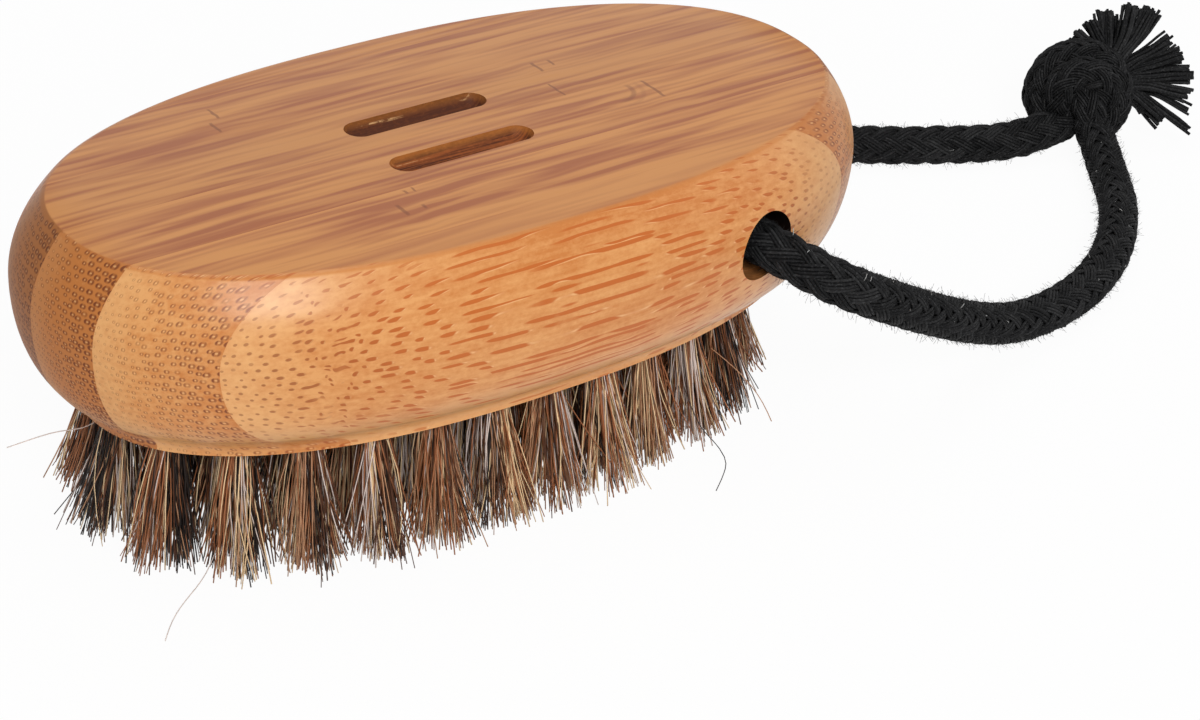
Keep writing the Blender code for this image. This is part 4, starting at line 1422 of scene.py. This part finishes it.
@dataclass
class Knot:
    """Both ends of the cord in one overhand knot: bands of braid wrapped over a round heart.

    Points are given in millimetres from the knot's middle, along its own three directions: to the
    right, up, and out of the side that the photograph shows. A clump of the tassel's ribbons is where
    its tips are from the root, to the right and up, and how many ribbons it has.
    """

    centre: Triple = (0.1112, 0.0148, 0.0074)
    cord_radius: float = 2.3 * MM
    pitch: float = 20.0 * MM
    yarn_radius: float = 0.175 * MM
    step: float = 0.5 * MM
    heart_radius: float = 4.7 * MM
    heart_share: float = 0.97
    shift: Triple = (-0.6, -0.5, 0.0)
    bands: tuple[tuple[Triple, ...], ...] = (
        ((-2.0, -2.8, -1.0), (-4.2, -3.0, 0.4), (-4.9, -0.4, 1.1), (-3.9, 2.9, 1.4), (-1.0, 4.6, 1.3),
         (2.4, 4.2, 1.5), (4.5, 1.9, 1.9), (4.8, -1.3, 1.7), (3.3, -4.0, 0.9), (0.8, -3.6, -1.5)),
        ((-2.6, -2.8, 0.6), (-3.0, -0.8, 3.2), (-1.9, 1.2, 4.4), (0.5, 2.0, 4.7), (2.6, 1.1, 4.1),
         (3.3, -1.0, 2.8), (2.4, -2.6, 0.2)),
        ((4.0, -2.4, 0.4), (4.7, 0.8, -1.6), (3.0, 3.6, -2.8), (-0.4, 4.2, -3.2), (-3.6, 2.6, -3.0),
         (-4.8, -0.4, -2.2), (-3.8, -3.0, -1.0)),
        ((-3.4, 2.6, -0.8), (-3.4, 0.8, -3.4), (-1.0, -1.4, -4.7), (2.2, -1.8, -4.2), (4.3, 0.2, -2.6),
         (4.2, 2.8, -0.4)),
    )
    tail: tuple[Triple, ...] = ((1.3, -4.9, 2.6), (1.0, -2.8, 3.6), (0.6, -0.8, 3.4), (0.2, 1.2, 1.4))
    tassel_root: Triple = (3.9, 1.7, -0.4)
    tassel_axis: float = 30.0
    tassel_clumps: tuple[tuple[float, float, int], ...] = (
        (-4.4, 5.7, 1), (-3.8, 6.4, 2), (-2.2, 7.6, 3), (-0.2, 9.1, 5), (1.5, 8.6, 1), (2.1, 7.5, 2),
        (3.6, 9.6, 6), (6.2, 9.1, 6), (8.3, 5.2, 4), (9.9, 3.2, 5), (11.2, 0.7, 6), (10.9, -2.2, 2),
        (11.1, -4.1, 1), (10.7, -6.6, 1), (7.5, -5.5, 4), (5.2, -4.2, 2),
    )
    tassel_neck: tuple[float, float] = (2.7 * MM, 1.9 * MM)
    tassel_layers: int = 5
    ribbon_gap: float = 0.34 * MM
    ribbon_yarns: int = 4
    ribbon_bend: float = 0.28
    yarn_gap: float = 0.36 * MM
    yarn_width: float = 0.22 * MM
    yarn_floor: float = 0.35 * MM
    crimp: float = 0.08 * MM
    first_seed: int = 9
    seed: int = 5

    def axes(self) -> Array:
        """The knot's three directions, as rows."""
        right, up = unit(np.array(CAMERA_RIGHT)), unit(np.array(CAMERA_UP))
        return np.stack((right, up, np.cross(right, up)))

    def place(self, points: tuple) -> Array:
        """Points in the frame of the part, from points in the knot's own directions."""
        return np.array(self.centre) + (np.array(points) + np.array(self.shift)) * MM @ self.axes()

    def build(self, finish: Material) -> Piece:
        """Make the bands and the heart.

        Args:
            finish: the material.

        Returns:
            The finished piece.
        """
        bundle = TubeBundle("braided_knot", 12)
        for number, band in enumerate(self.bands + (self.tail,)):
            yarns = {"yarn_radius": self.yarn_radius, "yarn_sides": 4, "seed": self.first_seed + number}
            braid = Braid(self.cord_radius, self.pitch, **yarns)
            braid.add_to(bundle, Line(smooth_route(self.place(band), self.step)))
        rise = np.linspace(-self.heart_share, self.heart_share, 11)
        heart = Line(self.place((0.0, 0.0, 0.0)) + np.outer(rise * self.heart_radius, self.axes()[2]))
        rings = heart.rings(self.heart_radius * np.sqrt(1.0 - rise ** 2), bundle.sides)
        bundle.add(rings, strand=np.zeros(1), lint=np.zeros(1))
        return bundle.build(finish, LOOP_BODY, "cotton_cord", "cord_knot")

    def ribbons(self) -> list[tuple[float, float, float]]:
        """Where each ribbon's tip is from the root, to the right and up, and its place in its clump.

        Returns:
            One entry a ribbon.
        """
        return [
            (along, rise, index - (count - 1) / 2)
            for along, rise, count in self.tassel_clumps
            for index in range(count)
        ]

    def ribbon(self, number: int, tip_place: Triple, random: Draws) -> tuple[list[Array], Array]:
        """One flat-cut ribbon of yarns that bends out of the knot.

        Args:
            number: which ribbon, which sets its layer.
            tip_place: an entry of ribbons.
            random: the random draws.

        Returns:
            The middle lines of its yarns and the direction that they lie side by side in.
        """
        right, up, out = self.axes()
        start = self.place(self.tassel_root)
        middle = math.radians(self.tassel_axis)
        axis = right * math.cos(middle) + up * math.sin(middle)
        aside = up * math.cos(middle) - right * math.sin(middle)
        along, rise, place_in_clump = tip_place
        layer = ((number * 7) % self.tassel_layers - 2) / 2
        turn = math.atan2(rise, along)
        across = up * math.cos(turn) - right * math.sin(turn)
        spread = max(-1.0, min(1.0, (turn - middle) / 1.4))
        tip = start + (right * along + up * rise) * MM + across * (place_in_clump * self.ribbon_gap)
        tip = tip + out * (math.sin(along * 2.3) * 0.8 + layer * 0.7 + random.normal(0.0, 0.1)) * MM
        root = start + aside * (self.tassel_neck[0] * spread) + out * (self.tassel_neck[1] * layer)
        tip = root + (tip - root) * random.uniform(0.96, 1.04)
        bend = root + axis * (self.ribbon_bend * np.linalg.norm(tip - root))
        bend = bend + across * random.normal(0.0, 0.4 * MM)
        share = np.linspace(0.0, 1.0, 13)[:, None]
        route = (1.0 - share) ** 2 * root + 2 * share * (1.0 - share) * bend + share ** 2 * tip
        phase = random.uniform(0.0, math.tau)
        tilt = random.normal(0.0, 0.45)
        flat = across * math.cos(tilt) + out * math.sin(tilt)
        yarns = []
        for yarn in range(self.ribbon_yarns):
            place = flat * ((yarn - (self.ribbon_yarns - 1) / 2) * self.yarn_gap)
            crimp = across * (np.sin(share * 13.0 + phase + yarn * 0.5) * self.crimp)
            loose = share ** 2 * random.normal(0.0, 0.13, 3) * MM
            points = root + (route - root) * random.uniform(0.97, 1.03) + place + crimp + loose
            points[:, 2] = np.maximum(points[:, 2], self.yarn_floor)
            yarns.append(points)
        return yarns, flat

    def build_tassel(self, finish: Material) -> Piece:
        """The frayed ends: ribbons of yarn that fan out beyond the knot.

        Args:
            finish: the material.

        Returns:
            The finished piece.
        """
        random = np.random.default_rng(self.seed)
        centres, outs = [], []
        for number, tip_place in enumerate(self.ribbons()):
            yarns, flat = self.ribbon(number, tip_place, random)
            centres += yarns
            outs += [np.broadcast_to(flat, points.shape) for points in yarns]
        count = len(centres)
        radii = np.full((count, 1), self.yarn_width) * random.uniform(0.85, 1.15, count)[:, None]
        bundle = TubeBundle("frayed_tassel", 6)
        strand = random.uniform(0.0, 1.0, count)
        bundle.add_lines(np.array(centres), radii, np.array(outs), strand=strand, lint=np.zeros(count))
        return bundle.build(finish, LOOP_BODY, "cotton_cord", "cord_tassel")


@dataclass
class HangingLoop:
    """The cord: held in the bore, laid down on both sides, tied in a knot and frayed beyond it."""

    diameter: float = 5.0 * MM
    step: float = 0.62 * MM
    held_length: float = 28.2 * MM
    held_points: int = 46
    near_route: tuple[Triple, ...] = (
        (0.0243, -0.0144, 0.0263), (0.0243, -0.0190, 0.0263), (0.0250, -0.0232, 0.0259),
        (0.0269, -0.0267, 0.0248), (0.0298, -0.0291, 0.0230), (0.0333, -0.0300, 0.0210),
        (0.0380, -0.0294, 0.0182), (0.0434, -0.0281, 0.0149), (0.0490, -0.0266, 0.0116),
        (0.0546, -0.0251, 0.0085), (0.0604, -0.0237, 0.0057), (0.0668, -0.0225, 0.0036),
        (0.0736, -0.0212, 0.0027), (0.0812, -0.0189, 0.0026), (0.0884, -0.0150, 0.0026),
        (0.0948, -0.0099, 0.0026), (0.1000, -0.0043, 0.0026), (0.1043, 0.0018, 0.0027),
        (0.1074, 0.0066, 0.0033), (0.1092, 0.0102, 0.0044),
    )
    far_route: tuple[Triple, ...] = (
        (0.0243, 0.0144, 0.0263), (0.0243, 0.0190, 0.0263), (0.0250, 0.0232, 0.0259),
        (0.0269, 0.0267, 0.0248), (0.0299, 0.0291, 0.0232), (0.0350, 0.0305, 0.0202),
        (0.0409, 0.0318, 0.0168), (0.0478, 0.0322, 0.0128), (0.0546, 0.0321, 0.0094),
        (0.0618, 0.0310, 0.0064), (0.0696, 0.0287, 0.0040), (0.0776, 0.0253, 0.0029),
        (0.0854, 0.0211, 0.0026), (0.0930, 0.0171, 0.0026), (0.0994, 0.0147, 0.0027),
        (0.1054, 0.0136, 0.0036),
    )
    run_on: float = 3.8 * MM
    mouth_reach: float = 24.2 * MM
    fuzz_hairs: int = 9000
    fuzz_radius: float = 0.017 * MM
    fuzz_depth: float = 0.25 * MM
    fuzz_points: int = 4
    fuzz_lengths: tuple[float, float] = (0.30, 0.70)
    fuzz_slide: float = 0.3
    fuzz_droop: float = 0.45
    fuzz_drift: float = 0.9
    fuzz_drift_power: float = 1.6
    fuzz_floor: float = 0.05 * MM
    lint_share: float = 0.006
    lint_radius: float = 0.030 * MM

    def stretch(self, name: str, points: Array, finish: Material, node: str) -> Piece:
        """One braided stretch of the cord.

        Args:
            name: name of the piece.
            points: its middle line.
            finish: the material.
            node: the node that it stands for.

        Returns:
            The finished piece.
        """
        bundle = TubeBundle(name, 12)
        Braid(radius=self.diameter / 2).add_to(bundle, Line(points))
        return bundle.build(finish, LOOP_BODY, "cotton_cord", node)

    def run_into(self, points: Array, target: Array) -> Array:
        """The same line with a short run on into the knot.

        Args:
            points: the line.
            target: where the run on heads.

        Returns:
            The longer line.
        """
        ahead = unit(points[-1] - points[-3])
        steps = round(self.run_on / self.step)
        share = np.arange(1, steps + 1)[:, None] / steps
        way = ahead * (1.0 - share * 0.5) + unit(target - points[-1]) * share * 0.5
        return np.concatenate((points, points[-1] + way * share * self.run_on))

    def build_fuzz(self, name: str, line: Line, seed: int, finish: Material) -> Piece:
        """Loose fibres that stand off a stretch of cord, and a few flecks of lint.

        Args:
            name: name of the piece.
            line: middle of the cord.
            seed: start of the random draws.
            finish: the material.

        Returns:
            The finished piece.
        """
        random = np.random.default_rng(seed)
        hairs = self.fuzz_hairs
        index = random.integers(4, len(line.points) - 4, hairs)
        turn = random.uniform(0.0, math.tau, hairs)
        out = line.sides[index] * np.cos(turn)[:, None] + line.ups[index] * np.sin(turn)[:, None]
        slide = line.tangents[index] * random.uniform(-self.fuzz_slide, self.fuzz_slide, hairs)[:, None] * MM
        root = line.points[index] + out * (self.diameter / 2 - self.fuzz_depth) + slide
        aside = unit(np.cross(out, line.tangents[index]) + random.normal(0.0, 0.9, (hairs, 3)))
        shortest, spread = self.fuzz_lengths
        length = (shortest + spread * random.uniform(0.0, 1.0, hairs) ** 3) * MM
        share = np.linspace(0.0, 1.0, self.fuzz_points)
        rise = share * (1.0 - self.fuzz_droop * share)
        drift = share ** self.fuzz_drift_power * self.fuzz_drift
        centres = root[:, None] + out[:, None] * rise[:, None] * length[:, None, None]
        centres = centres + aside[:, None] * drift[:, None] * length[:, None, None]
        centres[..., 2] = np.maximum(centres[..., 2], self.fuzz_floor)
        lint = (random.uniform(0.0, 1.0, hairs) < self.lint_share).astype(float)
        radii = (self.fuzz_radius + lint * self.lint_radius)[:, None]
        bundle = TubeBundle(name, 3)
        strand = random.uniform(0.4, 1.0, hairs)
        bundle.add_lines(centres, radii, line.tangents[index][:, None], strand=strand, lint=lint)
        return bundle.build(finish, LOOP_BODY, "cotton_cord")

    def build(self, finish: Material) -> None:
        """Make the cord and log the lengths of its two free stretches.

        Args:
            finish: the material.
        """
        half = self.held_length / 2
        held = np.linspace((BORE.x, -half, BORE.z), (BORE.x, half, BORE.z), self.held_points)
        self.stretch("braid_in_bore", held, finish, "cord_in_bore")
        knot = Knot()
        near = smooth_route(self.near_route, self.step)
        far = smooth_route(self.far_route, self.step)
        near_way = self.run_into(near, knot.place(knot.tail[2]))
        far_way = self.run_into(far, knot.place((0.0, 0.0, 0.0)))
        near_piece = self.stretch("braid_near_side", near_way, finish, "cord_near_side")
        far_piece = self.stretch("braid_far_side", far_way, finish, "cord_far_side")
        knot_piece = knot.build(finish)
        tassel = knot.build_tassel(finish)
        near_fuzz = self.build_fuzz("near_fuzz", Line(near), 21, finish)
        far_fuzz = self.build_fuzz("far_fuzz", Line(far), 22, finish)
        for piece, points, side, more in (
            (near_piece, near, -1.0, [near_fuzz, knot_piece, tassel]),
            (far_piece, far, 1.0, [far_fuzz]),
        ):
            length = float(Line(points).length)
            LOG.info("%s: %.4f m long", piece.name, length)


@dataclass
class Studio:
    """Pale floor, soft lights and the camera at the photograph's side."""

    camera_place: Triple = (-0.16605, -0.241678, 0.18432)
    lens: float = 92.357
    target: Triple = (0.0, 0.0, 0.02)
    ambient: float = 0.34
    floor_size: float = 6.0
    floor_grey: float = 0.94
    floor_shine: float = 0.95
    lights: tuple[tuple[str, Triple, float, float], ...] = (
        ("front_softbox", (-0.29, -0.73, 0.60), 0.42, 6.0),
        ("right_fill", (0.70, -0.45, 0.35), 0.5, 0.4),
        ("overhead", (0.05, 0.20, 0.98), 0.6, 1.6),
    )

    def place_camera(self) -> None:
        """Add the camera and make it the scene's."""
        data = bpy.data.cameras.new("camera")
        data.sensor_width = 36.0
        data.lens = self.lens
        data.clip_start = 0.01
        camera = bpy.data.objects.new("camera", data)
        right = Vector(CAMERA_RIGHT).normalized()
        back = right.cross(Vector(CAMERA_UP)).normalized()
        up = back.cross(right)
        turn = Matrix((right, up, back)).transposed().to_4x4()
        camera.matrix_world = Matrix.Translation(self.camera_place) @ turn
        bpy.context.scene.collection.objects.link(camera)
        bpy.context.scene.camera = camera

    def add_light(self, name: str, place: Triple, size: float, power: float) -> None:
        """Add a square soft light that faces the brush.

        Args:
            name: name of the light.
            place: where it stands.
            size: length of its sides.
            power: its power in watts.
        """
        data = bpy.data.lights.new(name, "AREA")
        data.shape = "SQUARE"
        data.size = size
        data.energy = power
        light = bpy.data.objects.new(name, data)
        light.location = place
        light.rotation_mode = "QUATERNION"
        light.rotation_quaternion = (Vector(self.target) - Vector(place)).to_track_quat("-Z", "Y")
        bpy.context.scene.collection.objects.link(light)

    @staticmethod
    def seen_directly(board: Board) -> Shade:
        """1 for rays that show the background as it is: straight ones, and those in gloss and glass.

        Args:
            board: the nodes in the making.

        Returns:
            1 or 0.
        """
        straight = board.node("ShaderNodeLightPath", output="Is Camera Ray")
        gloss = board.also(straight, "Is Glossy Ray")
        clear = board.also(straight, "Is Transmission Ray")
        return straight.largest(gloss).largest(clear)

    def make_floor(self) -> None:
        """White floor that shows as the background and keeps a faint shadow."""
        deselect_all()
        bpy.ops.mesh.primitive_grid_add(
            x_subdivisions=8, y_subdivisions=8, size=self.floor_size, location=(0.0, 0.0, 0.0)
        )
        floor = bpy.context.object
        floor.name = "floor"
        material, board = new_board("white_floor")
        diffuse = board.node("ShaderNodeBsdfDiffuse", None, {"Color": (*(self.floor_grey,) * 3, 1.0)})
        white = board.node("ShaderNodeEmission", None, {"Color": WHITE, "Strength": 1.0})
        share = self.seen_directly(board) * self.floor_shine
        shader = board.node("ShaderNodeMixShader", None, {0: share, 1: diffuse, 2: white})
        board.node("ShaderNodeOutputMaterial", None, {"Surface": shader})
        floor.data.materials.append(material)

    def make_world(self) -> None:
        """Even light all round, and a white background for the rays that see it."""
        world = bpy.data.worlds.new("studio")
        world.use_nodes = True
        board = Board(world.node_tree)
        even, white = (
            board.node("ShaderNodeBackground", None, {"Color": WHITE, "Strength": strength})
            for strength in (self.ambient, 1.0)
        )
        shader = board.node("ShaderNodeMixShader", None, {0: self.seen_directly(board), 1: even, 2: white})
        board.node("ShaderNodeOutputWorld", None, {"Surface": shader})
        bpy.context.scene.world = world

    def build(self) -> None:
        """Set up the stage."""
        self.place_camera()
        self.make_floor()
        self.make_world()
        for light in self.lights:
            self.add_light(*light)
        bpy.context.scene.view_settings.view_transform = "Standard"


def main() -> None:
    """Build the stage and the three sub-assemblies in order."""
    logging.basicConfig(level=logging.INFO, format="%(name)s %(message)s")
    Studio().build()
    HangingLoop().build(CottonFinish().make())
    bristles = BristleField()
    Block().build(BambooFinish().make(), bristles.all_places())
    bristles.build(HairFinish().make())
    deselect_all()


if __name__ == "__main__":
    main()
